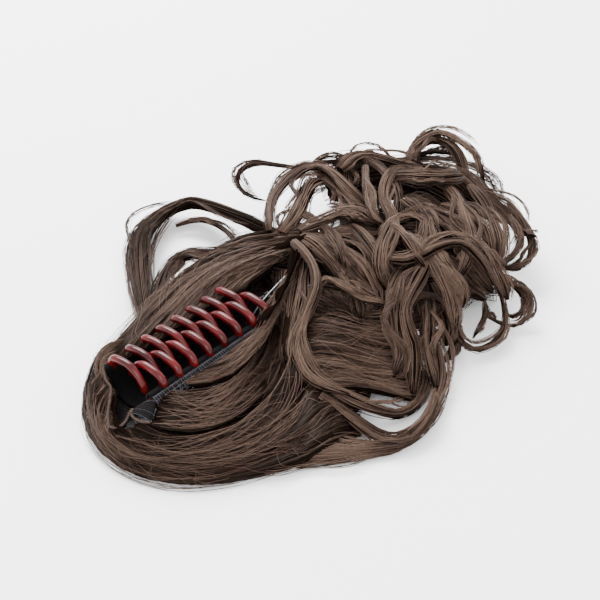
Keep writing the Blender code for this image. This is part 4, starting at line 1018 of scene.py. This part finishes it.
def add_mix(tree, first=None, second=None):
    """A node that mixes two colours."""
    mix = tree.nodes.new("ShaderNodeMix")
    mix.data_type = "RGBA"
    if first is not None:
        set_inputs(mix, A=(*first, 1.0), B=(*second, 1.0))
    return mix


def add_range(tree, start, end):
    """A node that takes what lies between start and end to 0 and 1."""
    node = tree.nodes.new("ShaderNodeMapRange")
    set_inputs(node, From_Min=start, From_Max=end)
    return node


def add_bump(tree, shader, noise, strength, distance):
    bump = tree.nodes.new("ShaderNodeBump")
    set_inputs(bump, Strength=strength, Distance=distance)
    tree.links.new(noise.outputs["Fac"], bump.inputs["Height"])
    tree.links.new(bump.outputs["Normal"], shader.inputs["Normal"])


def group_with(name, inputs, outputs):
    """A new node group with its inputs and outputs."""
    group = bpy.data.node_groups.new(name, "ShaderNodeTree")
    for label, kind, default in inputs:
        socket = group.interface.new_socket(name=label, in_out="INPUT", socket_type=kind)
        if default is not None:
            socket.default_value = default
    for label, kind in outputs:
        group.interface.new_socket(name=label, in_out="OUTPUT", socket_type=kind)
    return group, group.nodes.new("NodeGroupInput"), group.nodes.new("NodeGroupOutput")


def object_noise(tree, scale, detail=2.0):
    """Noise that stays with the piece."""
    place = tree.nodes.new("ShaderNodeTexCoord")
    noise = tree.nodes.new("ShaderNodeTexNoise")
    set_inputs(noise, Scale=scale, Detail=detail)
    tree.links.new(place.outputs["Object"], noise.inputs["Vector"])
    return noise


def three_tones():
    """Group: a value from 0 to 1 picks between three colours, with slow patches over the piece."""
    found = bpy.data.node_groups.get("Hair Tones")
    if found:
        return found
    group, given, result = group_with(
        "Hair Tones",
        (("Tone", "NodeSocketFloat", 0.5), ("Patches", "NodeSocketFloat", 0.2),
         ("Dark", "NodeSocketColor", None), ("Middle", "NodeSocketColor", None),
         ("Light", "NodeSocketColor", None)),
        (("Color", "NodeSocketColor"),))
    nodes, links = group.nodes, group.links
    noise = object_noise(group, 38.0)
    centred = nodes.new("ShaderNodeMath")
    centred.operation = "SUBTRACT"
    centred.inputs[1].default_value = 0.5
    patch = nodes.new("ShaderNodeMath")
    patch.operation = "MULTIPLY_ADD"
    lower, upper = add_range(group, 0.0, 0.5), add_range(group, 0.5, 1.0)
    first, second = add_mix(group), add_mix(group)
    for start, end in (
            (noise.outputs["Fac"], centred.inputs[0]),
            (centred.outputs[0], patch.inputs[0]),
            (given.outputs["Patches"], patch.inputs[1]),
            (given.outputs["Tone"], patch.inputs[2]),
            (patch.outputs[0], lower.inputs["Value"]),
            (patch.outputs[0], upper.inputs["Value"]),
            (lower.outputs["Result"], first.inputs["Factor"]),
            (given.outputs["Dark"], first.inputs["A"]),
            (given.outputs["Middle"], first.inputs["B"]),
            (upper.outputs["Result"], second.inputs["Factor"]),
            (first.outputs["Result"], second.inputs["A"]),
            (given.outputs["Light"], second.inputs["B"]),
            (second.outputs["Result"], result.inputs["Color"])):
        links.new(start, end)
    return group


def toned_material(name, dark, middle, light, roughness, specular, patches=0.5):
    """A material whose colour follows the tone that each point carries."""
    material, tree, shader = new_material(name)
    tone = tree.nodes.new("ShaderNodeAttribute")
    tone.attribute_name = "tone"
    pick_tone = tree.nodes.new("ShaderNodeGroup")
    pick_tone.node_tree = three_tones()
    set_inputs(pick_tone, Dark=(*dark, 1.0), Middle=(*middle, 1.0), Light=(*light, 1.0), Patches=patches)
    tree.links.new(tone.outputs["Fac"], pick_tone.inputs["Tone"])
    tree.links.new(pick_tone.outputs["Color"], shader.inputs["Base Color"])
    set_inputs(shader, Roughness=roughness, Specular_IOR_Level=specular, Specular_Tint=(1.0, 0.80, 0.68, 1.0))
    return material


def hair_material():
    s = hair()
    return bpy.data.materials.get("hair_strands") or toned_material(
        "hair_strands", s.dark, s.middle, s.light, roughness=0.34, specular=0.07)


def core_painted_shade_material():
    s = hair()
    made = bpy.data.materials.get("hair_inside_painted_shade")
    if made:
        return made
    # The hair's colours cut to a half, a quarter and a fifth: painted shade for the inside of the hair.
    made = toned_material("hair_inside_painted_shade", [0.5 * c for c in s.dark], [0.25 * c for c in s.middle],
                          [0.2 * c for c in s.light], roughness=1.0, specular=0.0)
    tree = made.node_tree
    add_bump(tree, tree.nodes["Principled BSDF"], object_noise(tree, 900.0), strength=0.5, distance=0.0006)
    return made


def plastic_material():
    s = claw()
    material, tree, shader = new_material("claw_translucent_red")
    noise = object_noise(tree, 120.0)
    mix = add_mix(tree, s.deep, s.bright)
    spread = add_range(tree, 0.3, 0.7)
    tree.links.new(noise.outputs["Fac"], spread.inputs["Value"])
    tree.links.new(spread.outputs["Result"], mix.inputs["Factor"])
    tree.links.new(mix.outputs["Result"], shader.inputs["Base Color"])
    set_inputs(shader, Roughness=0.16, Specular_IOR_Level=0.18, Coat_Weight=0.10, Coat_Roughness=0.05)
    return material


def plain_material(name, colour, roughness, metallic, grain, relief, vary=0.35):
    """A material of one colour that varies a little, with a fine grain."""
    material, tree, shader = new_material(name)
    noise = object_noise(tree, grain, 3.0)
    mix = add_mix(tree, [c * (1 - vary) for c in colour], [min(1.0, c * (1 + vary)) for c in colour])
    tree.links.new(noise.outputs["Fac"], mix.inputs["Factor"])
    tree.links.new(mix.outputs["Result"], shader.inputs["Base Color"])
    add_bump(tree, shader, noise, strength=0.4, distance=relief)
    set_inputs(shader, Roughness=roughness, Metallic=metallic, Specular_IOR_Level=0.1)
    return material


# Claw and wire

def tooth_points(x, side):
    """The middle line of one tooth of the jaw on that side."""
    points = []
    for across, rise in TOOTH_LINE:
        height = TOOTH_RISE if rise > 0 else TIP_DEPTH
        points.append((x, side * across * JAW_RADIUS, SHOULDER_HEIGHT + rise * height))
    return smooth_line(points, 26)


def tooth_first(side):
    """The place along the claw of that jaw's first tooth. The right jaw's are half a pitch on."""
    return -(TEETH - 0.5) * TOOTH_PITCH / 2 + (0.0 if side > 0 else 0.5) * TOOTH_PITCH


def make_teeth(name, side):
    line = tooth_points(tooth_first(side), side)
    t = np.linspace(0, 1, len(line))
    s = claw()
    diameters = s.tooth_diameter + (s.tip_diameter - s.tooth_diameter) * t ** 3
    diameters = diameters * np.sqrt(np.clip(1 - np.clip((t - 0.94) / 0.063, 0, 1) ** 2, 0.03, 1))
    tooth = rod(name, line, list(diameters), resolution=5)
    row = [tooth]
    for index in range(1, TEETH):
        pick(tooth)
        bpy.ops.object.duplicate()
        copy = bpy.context.object
        copy.location.x = index * TOOTH_PITCH
        settle(copy)
        row.append(copy)
    pick(*row)
    bpy.ops.object.join()
    return bpy.context.object


def make_plate(name, side):
    """The curved jaw, rolled from a flat grid and given its wall."""
    deselect()
    bpy.ops.mesh.primitive_grid_add(x_subdivisions=30, y_subdivisions=18, size=1.0)
    plate = bpy.context.object
    plate.name = name
    middle = JAW_RADIUS - claw().wall / 2
    lowest = math.asin((WIRE_DIAMETER / 2 + CLEARANCE) / (JAW_RADIUS - JAW_WALL))
    for vert in plate.data.vertices:
        along, across = vert.co.x * 2, vert.co.y + 0.5
        angle = lowest + (math.pi / 2 - lowest) * across
        vert.co = (along * CLAW_HALF, side * middle * math.sin(angle),
                   SHOULDER_HEIGHT - middle * math.cos(angle))
    wall = plate.modifiers.new("wall", "SOLIDIFY")
    wall.thickness = claw().wall
    wall.offset = 0.0
    rim = plate.modifiers.new("rim", "BEVEL")
    rim.width = JAW_RIM
    rim.segments = 2
    apply_modifiers(plate)
    face_outwards(plate)
    return plate


def make_jaw(name, side, material):
    plate = make_plate(name, side)
    teeth = make_teeth(name + "_teeth", side)
    join = plate.modifiers.new("teeth", "BOOLEAN")
    join.object = teeth
    join.operation = "UNION"
    join.solver = "MANIFOLD"
    apply_modifiers(plate)
    bpy.data.objects.remove(teeth, do_unlink=True)
    pick(plate)
    bpy.ops.object.shade_smooth_by_angle(angle=math.radians(40))
    plate.data.materials.clear()
    plate.data.materials.append(material)
    return plate


def wire_points():
    """Along the hinge line, then up and on past the claw's far end."""
    bend = CLAW_HALF - JAW_END
    points = [(-CLAW_HALF, 0, HINGE_HEIGHT), (0, 0, HINGE_HEIGHT)]
    for along, up in WIRE_BEND:
        points.append((bend + along * WIRE_TAIL, 0, HINGE_HEIGHT + up * WIRE_TAIL_RISE))
    return smooth_line(points, 60)


# Net and hem

def net_station(x):
    """Half width share, rim height and keel height of the net at one place along the claw."""
    keel = SHOULDER_HEIGHT - JAW_RADIUS - CLEARANCE - NET_WALL
    past = max(0.0, min((x - CLAW_HALF) / STERN_LENGTH, 1.0))
    return 1 - STERN_NARROWING * past ** 2, RIM_HEIGHT, keel


def shelf_share(x):
    """How much of the shelf's width is left at one place along the claw."""
    start = CLAW_HALF - JAW_END - TOOTH_PITCH
    return max(SHELF_LEFT, 1 - max(0.0, x - start) / SHELF_RUN_OUT)


def net_row(x, count):
    """One cut across the net's wall, from the left rim under the jaws to the shelf's edge."""
    width, rim, keel = net_station(x)
    half = NET_HALF * width - NET_WALL / 2
    depth = rim - NET_RIM - keel - NET_WALL / 2
    shelf, drop = NET_SHELF * shelf_share(x) * width, NET_SHELF_DROP * shelf_share(x) * width
    points = [(x, half, rim)]
    for k in range(ARC_STEPS + 1):
        angle = math.pi / 2 - math.pi * k / ARC_STEPS
        points.append((x, half * math.sin(angle), rim - NET_RIM - depth * math.cos(angle)))
    points.append((x, -half - SHELF_BEND[0] * shelf, rim - SHELF_BEND[1] * drop))
    points.append((x, -half - shelf, rim - drop))
    return even_row(points, count)


def mouth_row(left, keel, right, shelf, count):
    """One cut across the mouth: a bowl hung between its two rims, with the rest of the shelf."""
    points = []
    for rim, turns in ((left, range(QUARTER_STEPS + 1)), (right, range(QUARTER_STEPS - 1, -1, -1))):
        for k in turns:
            angle = math.pi / 2 * k / QUARTER_STEPS
            points.append((keel[0] + (rim[0] - keel[0]) * math.cos(angle),
                           keel[1] + (rim[1] - keel[1]) * math.cos(angle),
                           keel[2] + (rim[2] - keel[2]) * (1 - math.sin(angle))))
    for width, drop in (SHELF_BEND, (1.0, 1.0)):
        points.append(tuple(right - np.array((0, width * NET_SHELF, drop * NET_SHELF_DROP)) * shelf))
    return even_row(points, count)


def net_grid(columns, rows):
    """The cloth in cuts from the tip of the mouth to the open far end."""
    mouth = columns // 5
    left, keel, right = (smooth_line(hair_points(line), mouth + 1)[::-1]
                         for line in (MOUTH_LEFT, MOUTH_KEEL, MOUTH_RIGHT))
    grid = [mouth_row(left[i], keel[i], right[i], max(SHELF_LEFT, 1.6 * i / mouth - 0.6), rows)
            for i in range(mouth)]
    for x in np.linspace(-CLAW_HALF, CLAW_HALF + STERN_LENGTH, columns - mouth):
        grid.append(net_row(x, rows))
    return np.array(grid)


def lining_grid(columns, rows):
    """The net over the jaws' edges and down inside them, which the teeth come through."""
    inner = JAW_RADIUS - JAW_WALL - LINING_GAP
    half = NET_HALF - NET_WALL / 2
    grid = []
    for x in np.linspace(-CLAW_HALF - 0.001, CLAW_HALF + 0.002, columns):
        points = [(x, half, RIM_HEIGHT), (x, JAW_RADIUS - JAW_WALL / 2, RIM_HEIGHT + LINING_GAP)]
        for k in range(ARC_STEPS + 1):
            angle = math.pi / 2 - math.pi * k / ARC_STEPS
            points.append((x, inner * math.sin(angle), SHOULDER_HEIGHT - inner * math.cos(angle)))
        points.append((x, JAW_WALL / 2 - JAW_RADIUS, RIM_HEIGHT + LINING_GAP))
        points.append((x, -half, RIM_HEIGHT))
        grid.append(even_row(points, rows))
    return np.array(grid)


def gather_grid(columns, rows):
    """The gathered black cloth beside the mouth, between its rim and the first hair."""
    rim = smooth_line(hair_points(MOUTH_RIGHT[1:4]), columns)
    outer = smooth_line(GATHER_OUTER, columns)
    v = np.linspace(0, 1, rows)[:, None, None]
    u = np.linspace(0, 1, columns)[None, :]
    grid = rim[None] * (1 - v) + outer[None] * v
    pleat = np.sin(2 * np.pi * GATHERS * u) * (0.35 + 0.65 * v[:, :, 0])
    grid[:, :, 2] += GATHER_DEPTH * pleat + GATHER_RISE * np.sin(np.pi * v[:, :, 0])
    return grid.transpose(1, 0, 2)


def make_cloth(name, grid, material):
    """A closed thin cloth laid over a grid of points, and its area."""
    deselect()
    columns, rows = grid.shape[:2]
    bpy.ops.mesh.primitive_grid_add(x_subdivisions=columns - 1, y_subdivisions=rows - 1, size=1.0)
    cloth = bpy.context.object
    cloth.name = name
    for vert in cloth.data.vertices:
        i = round((vert.co.x + 0.5) * (columns - 1))
        k = round((vert.co.y + 0.5) * (rows - 1))
        vert.co = Vector(grid[i, k])
    area = sum(face.area for face in cloth.data.polygons)
    wall = cloth.modifiers.new("wall", "SOLIDIFY")
    wall.thickness = CLOTH_THICKNESS
    wall.offset = 0.0
    apply_modifiers(cloth)
    bpy.ops.object.shade_smooth()
    cloth.data.materials.append(material)
    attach(cloth, "root")
    return cloth, area


def net_threads(bundle, grid, faces, tone, keep, cell):
    """Threads both ways on the cloth, every other one raised.

    keep is how many of the grid's points make one step of a thread, and cell is the width of a mesh
    in usual ones.
    """
    s = net()
    up = unit(np.cross(np.gradient(grid, axis=0), np.gradient(grid, axis=1)))
    width = line_length(grid[len(grid) // 2])
    length = line_length(grid[:, grid.shape[1] // 2])
    for face in faces:
        for count, surface, raised in (
                (int(width / s.cell / cell), grid, up),
                (int(length / s.cell / cell), grid.transpose(1, 0, 2), up.transpose(1, 0, 2))):
            at = np.linspace(0.3, surface.shape[1] - 1.3, count)
            low = at.astype(int)
            mix = (at - low)[None, :, None]
            lines = surface[:, low] * (1 - mix) + surface[:, low + 1] * mix
            tops = raised[:, low] * (1 - mix) + raised[:, low + 1] * mix
            weave = np.where((np.arange(count) % 2 == 0), 1.0, 0.2)[None, :, None]
            lines = (lines + face * tops * (0.0002 + s.thread * 0.35 * weave)).transpose(1, 0, 2)
            lines = lines[:, ::keep].copy()
            radii = np.full(lines.shape[:2], s.thread / 2 * cell)
            tones = np.broadcast_to(tone + seeded("net").uniform(-0.1, 0.1, (count, 1)), radii.shape)
            bundle.add(lines, radii, np.ascontiguousarray(tones))


def hem_line(count):
    """The sewn edge: down the mouth's left rim, round its tip, back up and along the gathers."""
    left = smooth_line(hair_points(MOUTH_LEFT), 24)
    right = smooth_line(hair_points(MOUTH_RIGHT), 24)[::-1]
    edge = smooth_line(hair_points(GATHER_EDGE), 12)
    line = np.vstack((left, right[1:14], edge[1:]))
    line[:, 2] += HEM_HEIGHT / 2
    return smooth_line(line, count)


def stitches(bundle, line, radius, pitch, thread, tone, rng):
    """A thread wound round a line, as an overlocked edge has."""
    length = line_length(line)
    turns = length / pitch
    count = int(turns * 7)
    fine = smooth_line(line, count)
    side, top = lock_axes(fine, np.zeros(count))
    angle = np.linspace(0, 2 * np.pi * turns, count)
    size = radius * (1 + 0.10 * np.sin(angle * 0.37 + rng.uniform(0, 6)))
    wound = fine + side * (size * np.cos(angle))[:, None] + top * (size * np.sin(angle))[:, None]
    bundle.add(wound[None], np.full((1, count), thread / 2), np.full((1, count), tone))


# Operators

class HAIRPIECE_OT_claw(bpy.types.Operator):
    """Both jaws of the claw with their curved teeth."""
    bl_idname = "hairpiece.claw"
    bl_label = "Claw"

    def execute(self, context):
        material = plastic_material()
        for name, side in (("left", 1), ("right", -1)):
            jaw = make_jaw(f"jaw_{name}", side, material)
            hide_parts(f"claw_jaw_{name}")
            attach(jaw, "root")
        return {"FINISHED"}


class HAIRPIECE_OT_wire(bpy.types.Operator):
    """The steel wire on the hinge line."""
    bl_idname = "hairpiece.wire"
    bl_label = "Hinge Wire"

    def execute(self, context):
        points = wire_points()
        wire = rod("wire", points, [WIRE_DIAMETER] * len(points))
        steel = plain_material("wire_drawn_steel", claw().steel, roughness=0.32, metallic=1.0,
                               grain=300.0, relief=0.00002, vary=0.2)
        wire.data.materials.append(steel)
        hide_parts("hinge_wire")
        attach(wire, "root")
        return {"FINISHED"}


class HAIRPIECE_OT_net(bpy.types.Operator):
    """The black net sleeve with its threads and gathers."""
    bl_idname = "hairpiece.net"
    bl_label = "Net"

    def execute(self, context):
        s = net()
        # The cloth under the threads is the net's black cut to an eighth: the net's own black, darkened
        # further as painted shade for its holes and the inside of the trough.
        ground_black_and_painted_shade = plain_material("net_ground_black_and_painted_shade", [0.12 * c for c in s.black], roughness=1.0, metallic=0.0,
                                grain=1500.0, relief=0.0002, vary=0.0)
        bundle = Bundle()
        # Columns: name, grid, faces with threads, tone of the threads, how it is held.
        for name, grid, faces, tone, held in (
                ("net_cloth", net_grid(101, 51), (1, -1), 0.15, "stretched"),
                ("net_lining", lining_grid(61, 41), (1,), 0.80, "stretched"),
                ("net_gathers", gather_grid(91, 15), (), 0.5, "gathered")):
            cloth, area = make_cloth(name, grid, ground_black_and_painted_shade)
            if name == "net_cloth":
                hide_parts("net_base")
            if faces:
                net_threads(bundle, grid, faces, tone, keep=2, cell=1.5)
            if name == "net_cloth":
                shelf = np.array([even_row(row[-9:], 9) for row in net_grid(150, 51)[30:]])
                net_threads(bundle, shelf, (1, -1), tone=0.95, keep=1, cell=1.45)
        gathers = gather_grid(46, 8)
        lines = gathers + np.array((0, 0, 0.00035))
        tones = np.broadcast_to(seeded("gathers").uniform(0.1, 0.8, (len(lines), 1)), lines.shape[:2])
        bundle.add(lines, np.full(lines.shape[:2], s.thread / 2), np.ascontiguousarray(tones))
        thread = toned_material("net_thread", [0.2 * c for c in s.black], s.black,
                                [5.0 * c for c in s.black], roughness=0.6, specular=0.1, patches=0.3)
        for piece in bundle.make("net_threads", thread):
            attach(piece, "root")
        return {"FINISHED"}


class HAIRPIECE_OT_hem(bpy.types.Operator):
    """The sewn edge round the mouth, with its stitches."""
    bl_idname = "hairpiece.hem"
    bl_label = "Lip Hem"

    def execute(self, context):
        s = net()
        line = hem_line(90)
        t = np.linspace(0, 1, len(line))
        diameters = HEM_HEIGHT * np.clip(0.3 + 12 * np.minimum(t, 1 - t), 0, 1) * 0.7
        hem = rod("hem_edge", line, list(diameters), resolution=3)
        cloth = plain_material("hem_cloth", s.hem, roughness=0.8, metallic=0.0, grain=900.0, relief=0.0003)
        hem.data.materials.append(cloth)
        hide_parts("lip_hem")
        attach(hem, "root")
        bundle = Bundle()
        stitches(bundle, line, HEM_HEIGHT / 2, STITCH_PITCH, STITCH_THREAD, tone=0.6, rng=seeded("hem"))
        thread = toned_material("hem_thread", [0.6 * c for c in s.hem], s.hem,
                                [1.6 * c for c in s.hem], roughness=0.6, specular=0.4, patches=0.3)
        for piece in bundle.make("hem_stitches", thread):
            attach(piece, "root")
        return {"FINISHED"}


class HAIRPIECE_OT_hair_cores(bpy.types.Operator):
    """The insides of the locks and of the tangle under them, dark as painted shade."""
    bl_idname = "hairpiece.hair_cores"
    bl_label = "Hair Insides"

    def execute(self, context):
        bundle = Bundle()
        for _, width, depth, _, route in MASSES:
            lock_core(bundle, route, width, depth, tone=0.4, share=MASS_CORE_SHARE)
        for name, width, depth, _, route in CURLS:
            if name not in SHEER:
                lock_core(bundle, route, width, depth, tone=0.5)
        for name, rails in SHEETS.items():
            if name not in SHEER:
                sheet_core(bundle, rails, tone=0.4)
        for piece in bundle.make("hair_inside_painted_shade", core_painted_shade_material()):
            finish_hair(piece)
        return {"FINISHED"}


class HAIRPIECE_OT_sheets(bpy.types.Operator):
    """The smooth sheets of hair beside and in front of the claw."""
    bl_idname = "hairpiece.sheets"
    bl_label = "Hair Sheets"

    def execute(self, context):
        bundle = Bundle()
        for name, rails in SHEETS.items():
            count, tone, loose = SHEET_STRANDS[name]
            sheet_strands(bundle, name, rails, count, tone)
            flyaways(bundle, name, rails, int(loose * hair().loose))
        for piece in bundle.make("hair_sheets", hair_material()):
            finish_hair(piece)
        return {"FINISHED"}


class HAIRPIECE_OT_curls(bpy.types.Operator):
    """The locks of the tail, strand by strand."""
    bl_idname = "hairpiece.curls"
    bl_label = "Curls"

    def execute(self, context):
        bundle = Bundle()
        for name, width, depth, tone, route in CURLS:
            lock_strands(bundle, name, route, width, depth, tone, loose=2.6 if name in SHEER else 1.0,
                         twist=0 if name in SHEER else None, open_end=name in OPEN_ENDS)
            if name not in SHEER:
                wisps(bundle, name, route, width, depth, tone)
        for name, width, depth, tone, route in MASSES:
            lock_strands(bundle, name, route, width, depth, tone, loose=1.05, twist=20,
                         even=0.8, top_share=0.62)
        for piece in bundle.make("hair_curls", hair_material()):
            finish_hair(piece)
        return {"FINISHED"}


class HAIRPIECE_OT_stage(bpy.types.Operator):
    """The pale surface, the soft lights and the camera."""
    bl_idname = "hairpiece.stage"
    bl_label = "Stage"

    def execute(self, context):
        s = stage()
        deselect()
        bpy.ops.mesh.primitive_plane_add(size=6.0, location=(0, 0, 0))
        floor = bpy.context.object
        floor.name = "surface"
        material, tree, shader = new_material("surface_white")
        set_inputs(shader, Base_Color=(*s.floor, 1.0), Roughness=0.9)
        floor.data.materials.append(material)
        for name, place, size, power in LIGHTS:
            deselect()
            bpy.ops.object.light_add(type="AREA", location=place)
            light = bpy.context.object
            light.name = name
            light.data.size = size
            light.data.energy = power
            aim = Vector(LIGHT_TARGET) - Vector(place)
            light.rotation_euler = aim.to_track_quat("-Z", "Y").to_euler()
        world = bpy.data.worlds.new("studio")
        world.use_nodes = True
        set_inputs(world.node_tree.nodes["Background"], Color=(1, 1, 1, 1), Strength=WORLD_STRENGTH)
        context.scene.world = world
        back = Vector((math.sin(s.azimuth) * math.cos(s.elevation),
                       -math.cos(s.azimuth) * math.cos(s.elevation), math.sin(s.elevation)))
        deselect()
        bpy.ops.object.camera_add(location=Vector(VIEW_TARGET) + back * s.distance)
        camera = bpy.context.object
        camera.name = "photo_view"
        camera.rotation_euler = (-back).to_track_quat("-Z", "Y").to_euler()
        camera.data.sensor_width = 36.0
        camera.data.lens = s.lens
        camera.data.clip_end = 20.0
        context.scene.camera = camera
        return {"FINISHED"}


def finish_hair(piece):
    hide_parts("hair")
    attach(piece, "root")


class HAIRPIECE_PT_panel(bpy.types.Panel):
    bl_label = "Ponytail Hairpiece"
    bl_idname = "HAIRPIECE_PT_panel"
    bl_space_type = "VIEW_3D"
    bl_region_type = "UI"
    bl_category = "Hairpiece"

    def draw(self, context):
        for settings, operators in PANEL_ROWS:
            box = self.layout.box()
            group = getattr(context.scene, settings)
            for name in group.bl_rna.properties.keys():
                if name not in ("rna_type", "name"):
                    box.prop(group, name)
            for operator in operators:
                box.operator(operator)


SHEER = ("sheer_front", "veil")
OPEN_ENDS = ("top_wisp", "tuft_out", "tuft_curl", "small_loop_in", "right_tuft", "low_tuft", "sheer_front",
             "right_curl_in")
# Columns: strands, tone, loose hairs.
SHEET_STRANDS = {
    "skirt": (1150, 0.16, 120),
    "bed": (330, 0.26, 20),
    "veil": (230, 0.66, 16),
    "flap": (360, 0.50, 10),
    "fold": (120, 0.85, 4),
    "inner": (600, 0.08, 110),
    "right": (580, 0.42, 70),
    "sheet": (1000, 0.53, 70),
    "fan": (620, 0.62, 40),
}
VIEW_TARGET = (0.0869, 0.0052, 0.0)
WORLD_STRENGTH = 2.6
LIGHT_TARGET = (0.08, 0.0, 0.02)
# Columns: name, place, size, power.
LIGHTS = (
    ("key", (0.35, 0.75, 1.1), 0.9, 60.0),
    ("fill", (-0.9, -0.8, 1.0), 1.0, 16.0),
)
PANEL_ROWS = (
    ("hairpiece_claw", ("hairpiece.claw", "hairpiece.wire")),
    ("hairpiece_net", ("hairpiece.net", "hairpiece.hem")),
    ("hairpiece_hair", ("hairpiece.hair_cores", "hairpiece.sheets", "hairpiece.curls")),
    ("hairpiece_stage", ("hairpiece.stage",)),
)
GROUPS = (
    ("hairpiece_claw", ClawSettings),
    ("hairpiece_net", NetSettings),
    ("hairpiece_hair", HairSettings),
    ("hairpiece_stage", StageSettings),
)
CLASSES = (
    HAIRPIECE_OT_claw, HAIRPIECE_OT_wire, HAIRPIECE_OT_net, HAIRPIECE_OT_hem, HAIRPIECE_OT_hair_cores,
    HAIRPIECE_OT_sheets, HAIRPIECE_OT_curls, HAIRPIECE_OT_stage, HAIRPIECE_PT_panel,
)


def register():
    for name, group in GROUPS:
        bpy.utils.register_class(group)
        setattr(bpy.types.Scene, name, PointerProperty(type=group))
    for item in CLASSES:
        bpy.utils.register_class(item)


def unregister():
    for item in reversed(CLASSES):
        bpy.utils.unregister_class(item)
    for name, group in reversed(GROUPS):
        delattr(bpy.types.Scene, name)
        bpy.utils.unregister_class(group)


def main():
    register()
    bpy.ops.hairpiece.stage()
    bpy.ops.hairpiece.claw()
    bpy.ops.hairpiece.wire()
    bpy.ops.hairpiece.net()
    bpy.ops.hairpiece.hem()
    bpy.ops.hairpiece.hair_cores()
    bpy.ops.hairpiece.sheets()
    bpy.ops.hairpiece.curls()
    deselect()


if __name__ == "__main__":
    main()
